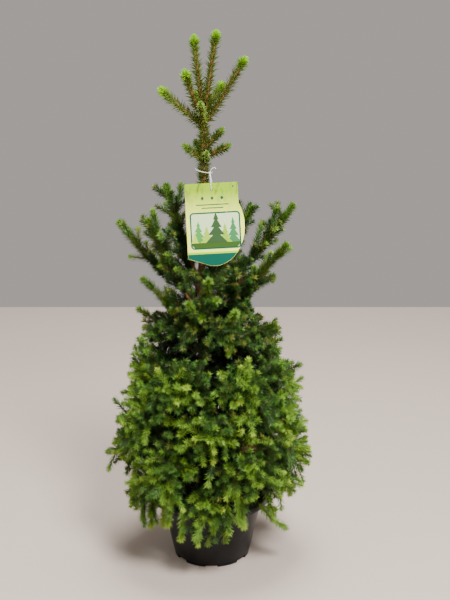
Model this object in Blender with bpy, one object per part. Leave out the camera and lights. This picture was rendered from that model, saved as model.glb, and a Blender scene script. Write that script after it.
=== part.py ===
"""Potted norway spruce: a dwarf tree a metre tall in a black nursery pot, with a hang tag on a string.

Metres, +Z up, front towards -Y. The origin is the middle of the pot's flat underside.
"""

import math
import random

import bmesh
import bpy
import numpy
from mathutils import Euler, Matrix, Vector

# Fits
CLEARANCE = 0.0003
FLAT_ANGLE = math.radians(0.5)

# Pot: a thin moulded wall with a foot band, a faint collar line and a lip that turns down
POT_HEIGHT = 0.131
POT_FOOT_RADIUS = 0.075
POT_BAND_HEIGHT = 0.008
POT_BAND_STEP = 0.0012
POT_COLLAR_HEIGHT = 0.107
POT_COLLAR_STEP = 0.0009
POT_SHOULDER_RADIUS = 0.1045
POT_LIP_RADIUS = 0.115
POT_LIP_DEPTH = 0.013
POT_WALL = 0.0018
POT_FLOOR = 0.003
POT_SIDES = 30
NOTCHES = 7
NOTCH_WIDTH = 0.025
NOTCH_HEIGHT = 0.0075
NOTCH_REACH_IN = 0.007
NOTCH_CUT_DEPTH = 0.03

# Soil, a little higher round the trunk than at the wall
SOIL_EDGE_HEIGHT = 0.117
SOIL_CROWN_HEIGHT = 0.121
SOIL_CROWN_RADIUS = 0.030

# Trunk: heights, and the axis' sideways lean and the radius at each
GROUND_HEIGHT = SOIL_CROWN_HEIGHT + CLEARANCE
FORK_HEIGHT = 0.853
TRUNK_HEIGHTS = (GROUND_HEIGHT, 0.128, 0.146, 0.20, 0.30, 0.40, 0.466, 0.55, 0.65, 0.766, FORK_HEIGHT)
TRUNK_LEANS = (0.0, 0.0, -0.001, -0.004, -0.010, -0.017, -0.021, -0.019, -0.016, -0.013, -0.012)
TRUNK_RADII = (0.0150, 0.0122, 0.0100, 0.0092, 0.0084, 0.0074, 0.0068, 0.0059, 0.0051, 0.0044, 0.0036)
TRUNK_SIDES = 10
ROOT_LOBES = 5
ROOT_LOBE_SIZE = 0.16

# Limbs
LIMB_FOOT_RADIUS = 0.0040
LIMB_JOIN_RADIUS = 0.0028
LIMB_SIDES = 6
LIMB_RINGS = 4
PATH_STEPS = 12
BOUGH_SHARE = 0.28

# Needled shoots. A spike stands for a tuft of needles and leans forward as they do.
SHOOT_SIDES = 4
RING_SPACING = 0.0180
SPIKE_LEAN = 0.006
SPIKE_LEAN_SHARE = 0.7
LAST_SPIKE = 0.75
SHOOT_CORE = 0.0032
SHOOT_END_CORE = 0.8
SHOOT_SPIKE = 0.0130
SHOOT_POINT = 0.007
BARE_SPACING = 0.035
SHORTEST_SHOOT = 0.022
SHOOT_ANGLE = math.radians(50)
GOLDEN_TURN = math.radians(137.5)
LAST_SHOOT = 0.92
FOOT_LENGTH = 1.12
TIP_SHORTENING = 0.5
LENGTH_SPREAD = 0.1
ROLL_SPREAD = 0.5
SPIKE_GAP = 0.001
SHOOT_TRIES = 6
RETRY_LENGTH = 0.88
RETRY_ROLL = 0.25
FIT_STEPS = 10

# Inside the crown the needles are dense: a core with an uneven skin fills part of a mass's own space
CORE_STEP = 0.003
CORE_LOW = 0.60
TUFT_LOW = 0.84
CORE_PULL = 0.90
CORE_TRIES = 8
CORE_GAP = 0.0025
FACE_STEPS = 4

# Outline of the foliage all round, and how much of its radius the cores take
OUTLINE_HEIGHTS = (0.070, 0.100, 0.150, 0.200, 0.300, 0.360, 0.420, 0.500, 0.530, 0.600, 0.700, 0.760)
OUTLINE_RADII = (0.135, 0.152, 0.180, 0.196, 0.192, 0.174, 0.152, 0.136, 0.100, 0.130, 0.165, 0.110)
CORE_SHARE = 0.93

# Whorls whose stems leave the trunk inside the foliage. Azimuth 0 is to the right (+X) and 270 the
# front (-Y). A tip's reach is from the pot's axis. Bend out is the share of it where a stem bends, and
# a core's place and the bare stretches are shares of a length. Side shoots start from the first share
# of the stem on, lift turns them up or down, and flat ones spread sideways.
WHORLS = {
    "skirt": {
        "foot": 0.186, "bend": 0.198, "bend_out": 0.5, "tip": 0.142, "azimuth": 30,
        "reaches": (0.160, 0.155, 0.165, 0.176, 0.158, 0.162),
        "core": 0.74, "core_reach": 0.074, "stem_bare": 0.80,
        "shoots": 5, "longest": 0.080, "shoot_bare": 0.30, "first": 0.58, "lift": -0.70, "flat": True,
    },
    "lower": {
        "foot": 0.236, "bend": 0.250, "bend_out": 0.5, "tip": 0.214, "azimuth": 0,
        "reaches": (0.190, 0.183, 0.182, 0.204, 0.182, 0.180),
        "core": 0.60, "core_reach": 0.080, "stem_bare": 0.76,
        "shoots": 5, "longest": 0.076, "shoot_bare": 0.45, "first": 0.30, "lift": -0.10, "flat": False,
    },
    "middle": {
        "foot": 0.290, "bend": 0.302, "bend_out": 0.5, "tip": 0.312, "azimuth": 30,
        "reaches": (0.195, 0.180, 0.192, 0.190, 0.178, 0.190),
        "core": 0.60, "core_reach": 0.080, "stem_bare": 0.76,
        "shoots": 4, "longest": 0.076, "shoot_bare": 0.45, "first": 0.36, "lift": 0.10, "flat": False,
    },
    "upper": {
        "foot": 0.346, "bend": 0.358, "bend_out": 0.5, "tip": 0.395, "azimuth": 0,
        "reaches": (0.170, 0.162, 0.158, 0.150, 0.160, 0.160),
        "core": 0.58, "core_reach": 0.075, "stem_bare": 0.72,
        "shoots": 4, "longest": 0.070, "shoot_bare": 0.45, "first": 0.36, "lift": 0.20, "flat": False,
    },
}
WHORL_STEP = 60
STAGGER = 0.010

# The waist: azimuth, reach and height of each tip; the bend's height is a share of the rise
WAIST = {
    "foot": 0.405, "bend": 0.34, "bend_out": 0.62,
    "tips": ((0, 0.117, 0.572), (60, 0.112, 0.545), (118, 0.112, 0.540), (165, 0.145, 0.505),
             (196, 0.131, 0.575), (248, 0.107, 0.545), (295, 0.108, 0.528), (338, 0.128, 0.492)),
    "core": 0.50, "core_reach": 0.060, "stem_bare": 0.60,
    "shoots": 4, "longest": 0.058, "shoot_bare": 0.35, "first": 0.30, "lift": 0.20, "flat": False,
}

# The crown: boughs that stand clear of each other, by azimuth, reach, tip height and foot height
CROWN = {
    "bend": 0.40, "bend_out": 0.55,
    "tips": ((0, 0.152, 0.708, 0.512), (33, 0.092, 0.694, 0.545), (82, 0.130, 0.665, 0.500),
             (128, 0.125, 0.690, 0.530), (154, 0.094, 0.738, 0.556), (180, 0.170, 0.676, 0.520),
             (205, 0.125, 0.690, 0.495), (268, 0.098, 0.590, 0.490), (340, 0.147, 0.644, 0.490)),
    "core": 0.16, "core_reach": 0.040, "stem_bare": 0.34,
    "shoots": 5, "longest": 0.057, "shoot_bare": 0.20, "first": 0.26, "lift": 0.25, "flat": False,
}

# The top: shoots that show singly, by foot height, azimuth, reach and height of the tip
LEADER_TIP = (0, 0.010, 1.018)
LEADER_SHOOTS = ((0.880, 180, 0.029, 1.012), (0.860, 0, 0.060, 0.974), (0.860, 214, 0.053, 0.953),
                 (0.857, 180, 0.086, 0.918), (0.884, 57, 0.036, 0.927), (0.862, 251, 0.052, 0.903),
                 (0.870, 125, 0.055, 0.940))
SECOND_SHOOTS = ((0.796, 180, 0.046, 0.819), (0.816, 0, 0.019, 0.848), (0.800, 340, 0.033, 0.822),
                 (0.800, 140, 0.036, 0.824), (0.797, 255, 0.030, 0.812))
KNEE_RISE = 0.030
KNEE_SIDEWAYS = 0.001
LEADER_BARE = 0.15
SLEEVE_FOOT = 0.690
SLEEVE_TOP = 0.786
SECOND_TOP = 0.846
SLEEVE_SIDES = 8
SLEEVE_CORE = 0.0074
SLEEVE_SPIKE = 0.0146
LEADER_SPIKE = 0.0090

# Tag: a card with a straight top and left side and a full round right side, on its front a hole
TAG_HOLE_PLACE = Vector((0.0016, -0.0262, 0.7438))
TAG_TILT = math.radians(13.1)
TAG_ROLL = math.radians(3.0)
TAG_THICKNESS = 0.0006
TAG_LEFT = -0.0495
TAG_RIGHT = 0.0485
TAG_TOP = 0.0123
TAG_CORNER_BOTTOM = -0.1254
TAG_ROUND_MIDDLE = -0.066
TAG_ROUND_WIDTH = 0.0575
TAG_ROUND_HEIGHT = 0.074
TAG_ROUND_START = math.radians(32.5)
TAG_ROUND_END = math.radians(-110)
TAG_ROUND_STEPS = 14
TAG_HOLE_RADIUS = 0.0022
TAG_HOLE_SIDES = 10
TAG_HOLE_CUT_DEPTH = 0.01
TAG_SECOND_HOLE = (0.0391, 0.0047)

# String: a slack loop, a knot on its front right, a loose end, and two strands that meet in the hole.
# The strand's guides are in the tag's frame: how far sideways, clear of the card, and up from the hole.
STRING_RADIUS = 0.0007
STRING_SIDES = 4
STRING_LOOP_STEPS = 14
STRING_LOOP_HEIGHT = 0.7745
STRING_LOOP_TILT = math.radians(12)
STRING_KNOT_RADIUS = 0.0016
STRING_KNOT_ANGLE = math.radians(-42)
STRAND_SIDE = 0.0012
STRAND_CLEAR = 0.0012
STRAND_LOW = 0.0045
STRAND_HIGH = 0.0150
STRAND_STEPS = 13
LOOSE_END = ((0.0030, -0.0020, 0.0075), (0.0085, -0.0030, 0.0105), (0.0110, -0.0030, 0.0085))
LOOSE_END_STEPS = 5


def remove_everything():
    """Empty the scene, so that the model starts clean."""
    for thing in list(bpy.data.objects):
        bpy.data.objects.remove(thing, do_unlink=True)


def make_material(name, colour, roughness):
    """A plain Principled material; its colour is linear."""
    material = bpy.data.materials.new(name)
    material.use_nodes = True
    shader = material.node_tree.nodes["Principled BSDF"]
    shader.inputs["Base Color"].default_value = (*colour, 1.0)
    shader.inputs["Roughness"].default_value = roughness
    shader.inputs["Metallic"].default_value = 0.0
    return material


def add_object(name, mesh, material=None):
    """Put a mesh in the scene as a named object."""
    thing = bpy.data.objects.new(name, mesh)
    mesh.materials.clear()
    if material:
        mesh.materials.append(material)
    bpy.context.scene.collection.objects.link(thing)
    return thing


def finish_mesh(name, bm):
    """Turn a bmesh into a mesh with its faces pointing out."""
    bmesh.ops.recalc_face_normals(bm, faces=bm.faces)
    mesh = bpy.data.meshes.new(name)
    bm.to_mesh(mesh)
    bm.free()
    return mesh


def shade_round(thing, degrees):
    """Smooth shading, with the edges above the angle kept sharp."""
    thing.data.shade_smooth()
    thing.data.set_sharp_from_angle(angle=math.radians(degrees))


def turned_mesh(name, profile, sides):
    """A solid turned round Z; the profile's ends lie on the axis, or its last point joins its first."""
    bm = bmesh.new()
    rings = []
    for radius, height in profile:
        if radius == 0.0:
            rings.append([bm.verts.new((0.0, 0.0, height))] * sides)
            continue
        ring = []
        for side in range(sides):
            angle = 2 * math.pi * side / sides
            ring.append(bm.verts.new((radius * math.cos(angle), radius * math.sin(angle), height)))
        rings.append(ring)
    for low, high in zip(rings, rings[1:]):
        for side in range(sides):
            after = (side + 1) % sides
            corners = []
            for vert in (low[side], low[after], high[after], high[side]):
                if vert not in corners:
                    corners.append(vert)
            bm.faces.new(corners)
    return finish_mesh(name, bm)


def frame_across(along):
    """Two directions square to the given one."""
    reference = Vector((0.0, 0.0, 1.0))
    if abs(along.normalized().z) > 0.8:
        reference = Vector((0.0, -1.0, 0.0))
    side = along.cross(reference).normalized()
    return side, side.cross(along).normalized()


def tube_mesh(name, points, radii, sides, spikes=None, point=0.0):
    """A closed tube through the points.

    With spikes, every other corner of a ring is drawn out to the spike's radius and forward, in turn
    from ring to ring, and each side between two rings folds along the line that joins its two low
    corners. The tube ends flat, or in a point of the given length.
    """
    bm = bmesh.new()
    side, _ = frame_across(points[-1] - points[0])
    rings = []
    for row, centre in enumerate(points):
        before = points[max(row - 1, 0)]
        after = points[min(row + 1, len(points) - 1)]
        along = (after - before).normalized()
        across = (side - along * side.dot(along)).normalized()
        over = across.cross(along).normalized()
        ring = []
        for corner in range(sides):
            angle = 2 * math.pi * (corner + 0.5) / sides
            radius = radii[row]
            place = centre.copy()
            if spikes and (row + corner) % 2 == 0 and spikes[row] > radius:
                lean = min(SPIKE_LEAN, SPIKE_LEAN_SHARE * (spikes[row] - radius))
                radius = spikes[row]
                place += along * lean
            out = across * math.cos(angle) + over * math.sin(angle)
            ring.append(bm.verts.new(place + out * radius))
        rings.append(ring)
    for row, (low, high) in enumerate(zip(rings, rings[1:])):
        for corner in range(sides):
            after = (corner + 1) % sides
            a, b, c, d = low[corner], low[after], high[after], high[corner]
            if (row + corner) % 2 == 0:
                bm.faces.new((a, b, d))
                bm.faces.new((b, c, d))
            else:
                bm.faces.new((a, b, c))
                bm.faces.new((a, c, d))
    bm.faces.new(rings[0])
    if point > 0.0:
        along = (points[-1] - points[-2]).normalized()
        tip = bm.verts.new(points[-1] + along * point)
        for corner in range(sides):
            bm.faces.new((rings[-1][corner], rings[-1][(corner + 1) % sides], tip))
    else:
        bm.faces.new(rings[-1])
    return finish_mesh(name, bm)


def evaluated_mesh(thing):
    """The object's mesh with its modifiers applied."""
    bpy.context.view_layer.update()
    graph = bpy.context.evaluated_depsgraph_get()
    return bpy.data.meshes.new_from_object(thing.evaluated_get(graph))


def fuse(name, meshes, material):
    """One solid from meshes that overlap."""
    first = add_object(name, meshes[0])
    others = bpy.data.collections.new(name + "_others")
    for number, mesh in enumerate(meshes[1:]):
        others.objects.link(bpy.data.objects.new(f"{name}_other_{number}", mesh))
    union = first.modifiers.new("union", "BOOLEAN")
    union.operation = "UNION"
    union.operand_type = "COLLECTION"
    union.collection = others
    union.solver = "EXACT"
    fused = evaluated_mesh(first)
    for thing in list(others.objects):
        bpy.data.objects.remove(thing, do_unlink=True)
    bpy.data.collections.remove(others)
    bpy.data.objects.remove(first, do_unlink=True)
    return add_object(name, keep_outer_skin(fused), material)


def cut(thing, cutter_mesh):
    """Take a cutter's shape out of an object."""
    cutter = bpy.data.objects.new("cutter", cutter_mesh)
    bpy.context.scene.collection.objects.link(cutter)
    difference = thing.modifiers.new("difference", "BOOLEAN")
    difference.operation = "DIFFERENCE"
    difference.object = cutter
    difference.solver = "EXACT"
    mesh = evaluated_mesh(thing)
    thing.modifiers.clear()
    thing.data = keep_outer_skin(mesh)
    bpy.data.objects.remove(cutter, do_unlink=True)


def keep_outer_skin(mesh):
    """Keep only the largest closed skin: loose scraps go, and hollows sealed inside are filled."""
    bm = bmesh.new()
    bm.from_mesh(mesh)
    bmesh.ops.dissolve_limit(bm, angle_limit=FLAT_ANGLE, verts=bm.verts, edges=bm.edges)
    bmesh.ops.triangulate(bm, faces=bm.faces)
    unseen = set(bm.verts)
    skins = []
    while unseen:
        skin = []
        ahead = [unseen.pop()]
        while ahead:
            vert = ahead.pop()
            skin.append(vert)
            for edge in vert.link_edges:
                other = edge.other_vert(vert)
                if other in unseen:
                    unseen.remove(other)
                    ahead.append(other)
        skins.append(skin)
    skins.sort(key=len)
    for skin in skins[:-1]:
        bmesh.ops.delete(bm, geom=skin, context="VERTS")
    bm.to_mesh(mesh)
    bm.free()
    return mesh


def build_pot(material):
    """The pot's turned wall and floor, with the drain notches cut through its foot."""
    foot_inner = POT_FOOT_RADIUS - POT_WALL
    inner_shoulder = POT_SHOULDER_RADIUS - POT_WALL
    lip_foot = POT_HEIGHT - POT_LIP_DEPTH
    collar_share = (POT_COLLAR_HEIGHT - POT_BAND_HEIGHT) / (POT_HEIGHT - POT_BAND_HEIGHT)
    band_radius = POT_FOOT_RADIUS + POT_BAND_STEP
    collar_radius = band_radius + (POT_SHOULDER_RADIUS - band_radius) * collar_share - POT_COLLAR_STEP
    profile = (
        (0.0, 0.0),
        (POT_FOOT_RADIUS, 0.0),
        (POT_FOOT_RADIUS + POT_BAND_STEP / 2, POT_BAND_HEIGHT),
        (band_radius + POT_BAND_STEP, POT_BAND_HEIGHT + POT_BAND_STEP),
        (collar_radius, POT_COLLAR_HEIGHT),
        (collar_radius + POT_COLLAR_STEP, POT_COLLAR_HEIGHT + POT_COLLAR_STEP),
        (POT_SHOULDER_RADIUS, POT_HEIGHT - POT_WALL),
        (POT_LIP_RADIUS - POT_WALL, POT_HEIGHT - POT_WALL),
        (POT_LIP_RADIUS - POT_WALL, lip_foot),
        (POT_LIP_RADIUS, lip_foot),
        (POT_LIP_RADIUS, POT_HEIGHT - POT_WALL / 2),
        (POT_LIP_RADIUS - POT_WALL / 2, POT_HEIGHT),
        (inner_shoulder, POT_HEIGHT),
        (foot_inner, POT_FLOOR),
        (0.0, POT_FLOOR),
    )
    pot = add_object("pot", turned_mesh("pot", profile, POT_SIDES), material)
    bm = bmesh.new()
    reach = POT_FOOT_RADIUS - NOTCH_REACH_IN
    for number in range(NOTCHES):
        turn = Matrix.Rotation(2 * math.pi * number / NOTCHES, 4, "Z")
        size = Matrix.Diagonal((NOTCH_WIDTH, NOTCH_CUT_DEPTH, 2 * NOTCH_HEIGHT, 1.0))
        place = Matrix.Translation((0.0, -reach - NOTCH_CUT_DEPTH / 2, 0.0))
        bmesh.ops.create_cube(bm, size=1.0, matrix=turn @ place @ size)
    cut(pot, finish_mesh("notches", bm))
    shade_round(pot, 30)


def soil_radius(height):
    """Radius of the pot's inner wall at a height, less the clearance."""
    share = (height - POT_FLOOR) / (POT_HEIGHT - POT_FLOOR)
    foot = POT_FOOT_RADIUS - POT_WALL
    return foot + (POT_SHOULDER_RADIUS - POT_WALL - foot) * share - CLEARANCE


def build_soil(material):
    """The soil that fills the pot."""
    floor = POT_FLOOR + CLEARANCE
    profile = (
        (0.0, floor),
        (soil_radius(floor), floor),
        (soil_radius(SOIL_EDGE_HEIGHT), SOIL_EDGE_HEIGHT),
        (SOIL_CROWN_RADIUS, SOIL_CROWN_HEIGHT),
        (0.0, SOIL_CROWN_HEIGHT),
    )
    soil = add_object("soil", turned_mesh("soil", profile, POT_SIDES), material)
    shade_round(soil, 30)


def trunk_axis(height):
    """Middle of the trunk at a height."""
    return Vector((float(numpy.interp(height, TRUNK_HEIGHTS, TRUNK_LEANS)), 0.0, height))


def trunk_mesh(name, extra):
    """The trunk with its root flare, thicker by an extra amount; a thicker one is a cutter."""
    bm = bmesh.new()
    rings = []
    for row, height in enumerate(TRUNK_HEIGHTS):
        lobe = ROOT_LOBE_SIZE * max(0.0, 1 - row / 2)
        if extra and row == 0:
            height -= extra
        if extra and height == FORK_HEIGHT:
            height += extra / 2
        ring = []
        for side in range(TRUNK_SIDES):
            angle = 2 * math.pi * side / TRUNK_SIDES
            radius = TRUNK_RADII[row] * (1 + lobe * math.cos(ROOT_LOBES * angle)) + extra
            ring.append(bm.verts.new((
                TRUNK_LEANS[row] + radius * math.cos(angle), radius * math.sin(angle), height)))
        rings.append(ring)
    for low, high in zip(rings, rings[1:]):
        for side in range(TRUNK_SIDES):
            after = (side + 1) % TRUNK_SIDES
            bm.faces.new((low[side], low[after], high[after], high[side]))
    bm.faces.new(rings[0])
    bm.faces.new(rings[-1])
    return finish_mesh(name, bm)


def place_at(azimuth, reach, height):
    """A point by its azimuth in degrees and its reach from the pot's axis."""
    angle = math.radians(azimuth)
    return Vector((reach * math.cos(angle), reach * math.sin(angle), height))


def limb_path(foot, bend, tip, start=0.0, end=1.0):
    """Points on a smooth curve from the foot towards the bend and on to the tip."""
    points = []
    for step in range(PATH_STEPS + 1):
        share = start + (end - start) * step / PATH_STEPS
        away = 1 - share
        points.append(foot * away * away + bend * 2 * share * away + tip * share * share)
    return points


def along_path(points, share):
    """Point and direction at a share of a path's length."""
    lengths = [(b - a).length for a, b in zip(points, points[1:])]
    left = share * sum(lengths)
    for number, length in enumerate(lengths):
        if left <= length or number == len(lengths) - 1:
            a, b = points[number], points[number + 1]
            return a + (b - a) * (left / length), (b - a).normalized()
        left -= length


class Crown:
    """All the limbs' paths, to tell whether a ball lies in one mass's own space."""

    def __init__(self):
        self.starts = []
        self.ends = []
        self.owners = []
        self.radii = []

    def add_path(self, owner, points, radius=0.0):
        """Add a path; a limb has a radius, and a mass's stem has none."""
        for a, b in zip(points, points[1:]):
            self.starts.append(a)
            self.ends.append(b)
            self.owners.append(owner)
            self.radii.append(radius)

    def freeze(self):
        """Turn the lists into arrays for quick measuring."""
        self.starts = numpy.array(self.starts)
        self.spans = numpy.array(self.ends) - self.starts
        self.squares = numpy.maximum((self.spans ** 2).sum(axis=1), 1e-12)
        self.owners = numpy.array(self.owners)
        self.radii = numpy.array(self.radii)

    def distances(self, point):
        """Distance from a point to each stretch of path."""
        away = numpy.array(point) - self.starts
        share = numpy.clip((away * self.spans).sum(axis=1) / self.squares, 0.0, 1.0)
        return numpy.linalg.norm(away - self.spans * share[:, None], axis=1)

    def room(self, owner, point):
        """Radius of the largest ball round a point that stays in the owner's space."""
        distances = self.distances(point)
        stems = self.radii == 0.0
        own = distances[self.owners == owner].min()
        others = distances[(self.owners != owner) & stems].min()
        limbs = (distances - self.radii)[~stems].min()
        return min((others - own) / 2, limbs, pot_room(point), tag_room(point)) - SPIKE_GAP


def pot_room(point):
    """Distance from a point to the pot's outside, or to the soil inside it."""
    reach = math.hypot(point[0], point[1])
    foot = Vector((POT_FOOT_RADIUS + POT_BAND_STEP, 0.0))
    shoulder = Vector((POT_SHOULDER_RADIUS, POT_HEIGHT - POT_LIP_DEPTH))
    wall = (shoulder - foot).normalized()
    beyond = Vector((reach, point[2])) - foot
    to_wall = beyond.x * wall.y - beyond.y * wall.x
    above_soil = point[2] - SOIL_CROWN_HEIGHT
    lip_out = reach - POT_LIP_RADIUS
    lip_over = point[2] - POT_HEIGHT
    lip_under = POT_HEIGHT - POT_LIP_DEPTH - point[2]
    lip_in = POT_SHOULDER_RADIUS - POT_WALL - reach
    to_lip = max(lip_out, lip_over, lip_under, lip_in)
    if reach < POT_SHOULDER_RADIUS:
        return min(to_lip, above_soil)
    return min(to_lip, max(to_wall, lip_over))


def tag_matrix():
    """Where the tag hangs: from its hole, leaning back at the top and rolled a little."""
    turn = Matrix.Rotation(-TAG_TILT, 4, "X") @ Matrix.Rotation(-TAG_ROLL, 4, "Y")
    return Matrix.Translation(TAG_HOLE_PLACE) @ turn


TAG_INVERSE = tag_matrix().inverted()


def tag_room(point):
    """Distance from a point to the box that holds the tag."""
    place = TAG_INVERSE @ Vector(point)
    lowest = TAG_ROUND_MIDDLE - TAG_ROUND_HEIGHT
    outside = (
        max(TAG_LEFT - place.x, place.x - TAG_ROUND_WIDTH, 0.0),
        max(abs(place.y) - TAG_THICKNESS / 2, 0.0),
        max(lowest - place.z, place.z - TAG_TOP, 0.0),
    )
    return math.sqrt(sum(value * value for value in outside))


def straight_points(start, end, spacing):
    """Points along a straight line, near the given spacing."""
    steps = max(2, round((end - start).length / spacing))
    return [start + (end - start) * (step / steps) for step in range(steps + 1)]


def shoot_mesh(name, start, end, spike, bare):
    """One needled side shoot: a bare share at its foot, then spikes, and a pointed tip."""
    body_end = end - (end - start).normalized() * SHOOT_POINT
    points = [start] + straight_points(start.lerp(body_end, bare), body_end, RING_SPACING)
    last = len(points) - 1
    radii = [SHOOT_CORE * (SHOOT_END_CORE if row in (0, last) else 1.0) for row in range(last + 1)]
    spikes = [0.0, 0.0] + [spike] * (last - 2) + [spike * LAST_SPIKE]
    return tube_mesh(name, points, radii, SHOOT_SIDES, spikes, SHOOT_POINT)


def shoot_fits(crown, owner, start, end, spike):
    """Whether a shoot's spikes all stay in its mass's own space."""
    for step in range(2, FIT_STEPS + 1):
        share = step / FIT_STEPS
        if crown.room(owner, start.lerp(end, share)) < spike * (1.0 if share < 0.9 else LAST_SPIKE):
            return False
    return True


def stem_mesh(crown, owner, path, bare):
    """A mass's stem: bare as far as the given share, then a needled shoot to its tip."""
    length = sum((b - a).length for a, b in zip(path, path[1:]))
    bare_steps = max(1, round(bare * length / BARE_SPACING))
    toothed_steps = max(2, round((1 - bare) * length / RING_SPACING))
    shares = [bare * step / bare_steps for step in range(bare_steps)]
    shares += [bare + (1 - bare) * step / toothed_steps for step in range(toothed_steps + 1)]
    points, radii, spikes = [], [], []
    for share in shares:
        point, _ = along_path(path, share * (1 - SHOOT_POINT / length))
        points.append(point)
        radii.append(LIMB_JOIN_RADIUS + (SHOOT_CORE - LIMB_JOIN_RADIUS) * share)
        reach = SHOOT_SPIKE * (LAST_SPIKE if share == 1.0 else 1.0)
        spikes.append(min(reach, crown.room(owner, point)) if share > bare else 0.0)
    return tube_mesh(owner, points, radii, SHOOT_SIDES, spikes, SHOOT_POINT)


def core_fits(crown, owner, point):
    """Whether a point of a core lies in its mass's own space and well inside the foliage's outline."""
    outline = float(numpy.interp(point[2], OUTLINE_HEIGHTS, OUTLINE_RADII))
    return math.hypot(point[0], point[1]) < outline * CORE_SHARE and crown.room(owner, point) > CORE_GAP


def free_reach(crown, owner, centre, aim, longest):
    """How far a core may go from its centre in one direction."""
    reach = CORE_STEP
    while reach < longest and core_fits(crown, owner, centre + aim * (reach + CORE_STEP)):
        reach += CORE_STEP
    return reach


def spots_fit(crown, owner, centre, face):
    """Whether points spread over a triangle lie in the mass's own space."""
    first, second, third = (vert.co for vert in face.verts)
    for row in range(FACE_STEPS + 1):
        for column in range(FACE_STEPS + 1 - row):
            left = FACE_STEPS - row - column
            spot = centre + (first * row + second * column + third * left) / FACE_STEPS
            if crown.room(owner, spot) < CORE_GAP:
                return False
    return True


def core_mesh(crown, owner, path, place, longest):
    """The dense inside of a mass: a ball of tufts that go out as far as the mass's space allows."""
    chance = random.Random(owner + " core")
    centre, _ = along_path(path, place)
    turn = Euler([chance.uniform(0, math.pi) for _ in range(3)]).to_matrix().to_4x4()
    bm = bmesh.new()
    bmesh.ops.create_icosphere(bm, subdivisions=1, radius=1.0, matrix=turn)
    tufts = bmesh.ops.poke(bm, faces=bm.faces[:])["verts"]
    for vert in bm.verts:
        aim = vert.co.normalized()
        share = chance.uniform(TUFT_LOW, 1.0) if vert in tufts else CORE_LOW
        vert.co = aim * free_reach(crown, owner, centre, aim, longest) * share
    tight = list(bm.faces)
    for attempt in range(CORE_TRIES):
        tight = [face for face in tight if not spots_fit(crown, owner, centre, face)]
        for face in tight:
            for vert in face.verts:
                vert.co *= CORE_PULL
    bmesh.ops.translate(bm, verts=bm.verts, vec=centre)
    return finish_mesh(owner, bm)


def side_shoots(crown, owner, path, sizes):
    """Side shoots up the stem in a golden-angle spiral, or by turns to its two sides, longest low down.

    A shoot that would leave the mass's own space is tried shorter, and is left out if it is then too
    short to show.
    """
    chance = random.Random(owner)
    shoots = []
    for number in range(sizes["shoots"]):
        first = sizes["first"]
        share = first + (LAST_SHOOT - first) * (number + 0.5) / sizes["shoots"]
        start, along = along_path(path, share)
        side, up = frame_across(along)
        turn = math.pi if sizes["flat"] else GOLDEN_TURN
        roll = number * turn + chance.uniform(-ROLL_SPREAD, ROLL_SPREAD)
        length = sizes["longest"] * (FOOT_LENGTH - TIP_SHORTENING * share)
        length *= chance.uniform(1 - LENGTH_SPREAD, 1 + LENGTH_SPREAD)
        for attempt in range(SHOOT_TRIES):
            across = side * math.cos(roll) + up * math.sin(roll)
            aim = along * math.cos(SHOOT_ANGLE) + across * math.sin(SHOOT_ANGLE)
            aim.z += sizes["lift"] * share
            end = start + aim.normalized() * length
            if shoot_fits(crown, owner, start, end, SHOOT_SPIKE):
                shoots.append((start, end))
                break
            length *= RETRY_LENGTH
            roll += RETRY_ROLL
            if length < SHORTEST_SHOOT:
                break
    return shoots


def build_tag(material):
    """The card: its outline extruded, with two punched holes, hung by its upper hole."""
    outline = [(TAG_LEFT, TAG_TOP), (TAG_RIGHT, TAG_TOP)]
    for step in range(TAG_ROUND_STEPS + 1):
        angle = TAG_ROUND_START + (TAG_ROUND_END - TAG_ROUND_START) * step / TAG_ROUND_STEPS
        outline.append((TAG_ROUND_WIDTH * math.cos(angle),
                        TAG_ROUND_MIDDLE + TAG_ROUND_HEIGHT * math.sin(angle)))
    outline.append((TAG_LEFT, TAG_CORNER_BOTTOM))
    bm = bmesh.new()
    face = bm.faces.new([bm.verts.new((x, -TAG_THICKNESS / 2, z)) for x, z in outline])
    extruded = bmesh.ops.extrude_face_region(bm, geom=[face])
    back = [item for item in extruded["geom"] if isinstance(item, bmesh.types.BMVert)]
    bmesh.ops.translate(bm, verts=back, vec=(0.0, TAG_THICKNESS, 0.0))
    tag = add_object("tag", finish_mesh("tag", bm), material)
    bm = bmesh.new()
    for x, z in ((0.0, 0.0), TAG_SECOND_HOLE):
        place = Matrix.Translation((x, 0.0, z)) @ Matrix.Rotation(math.radians(90), 4, "X")
        bmesh.ops.create_cone(bm, cap_ends=True, segments=TAG_HOLE_SIDES, radius1=TAG_HOLE_RADIUS,
                              radius2=TAG_HOLE_RADIUS, depth=TAG_HOLE_CUT_DEPTH, matrix=place)
    cut(tag, finish_mesh("holes", bm))
    tag.matrix_world = tag_matrix()


def smooth_points(guides, count):
    """Points on a smooth curve through the guide points."""
    padded = [guides[0]] + list(guides) + [guides[-1]]
    spans = len(guides) - 1
    points = []
    for step in range(count + 1):
        place = min(step / count * spans, spans - 1e-9)
        first = int(place)
        t = place - first
        p0, p1, p2, p3 = padded[first:first + 4]
        points.append(0.5 * (2 * p1 + (p2 - p0) * t + (2 * p0 - 5 * p1 + 4 * p2 - p3) * t * t
                             + (3 * p1 - p0 - 3 * p2 + p3) * t * t * t))
    return points


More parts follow.
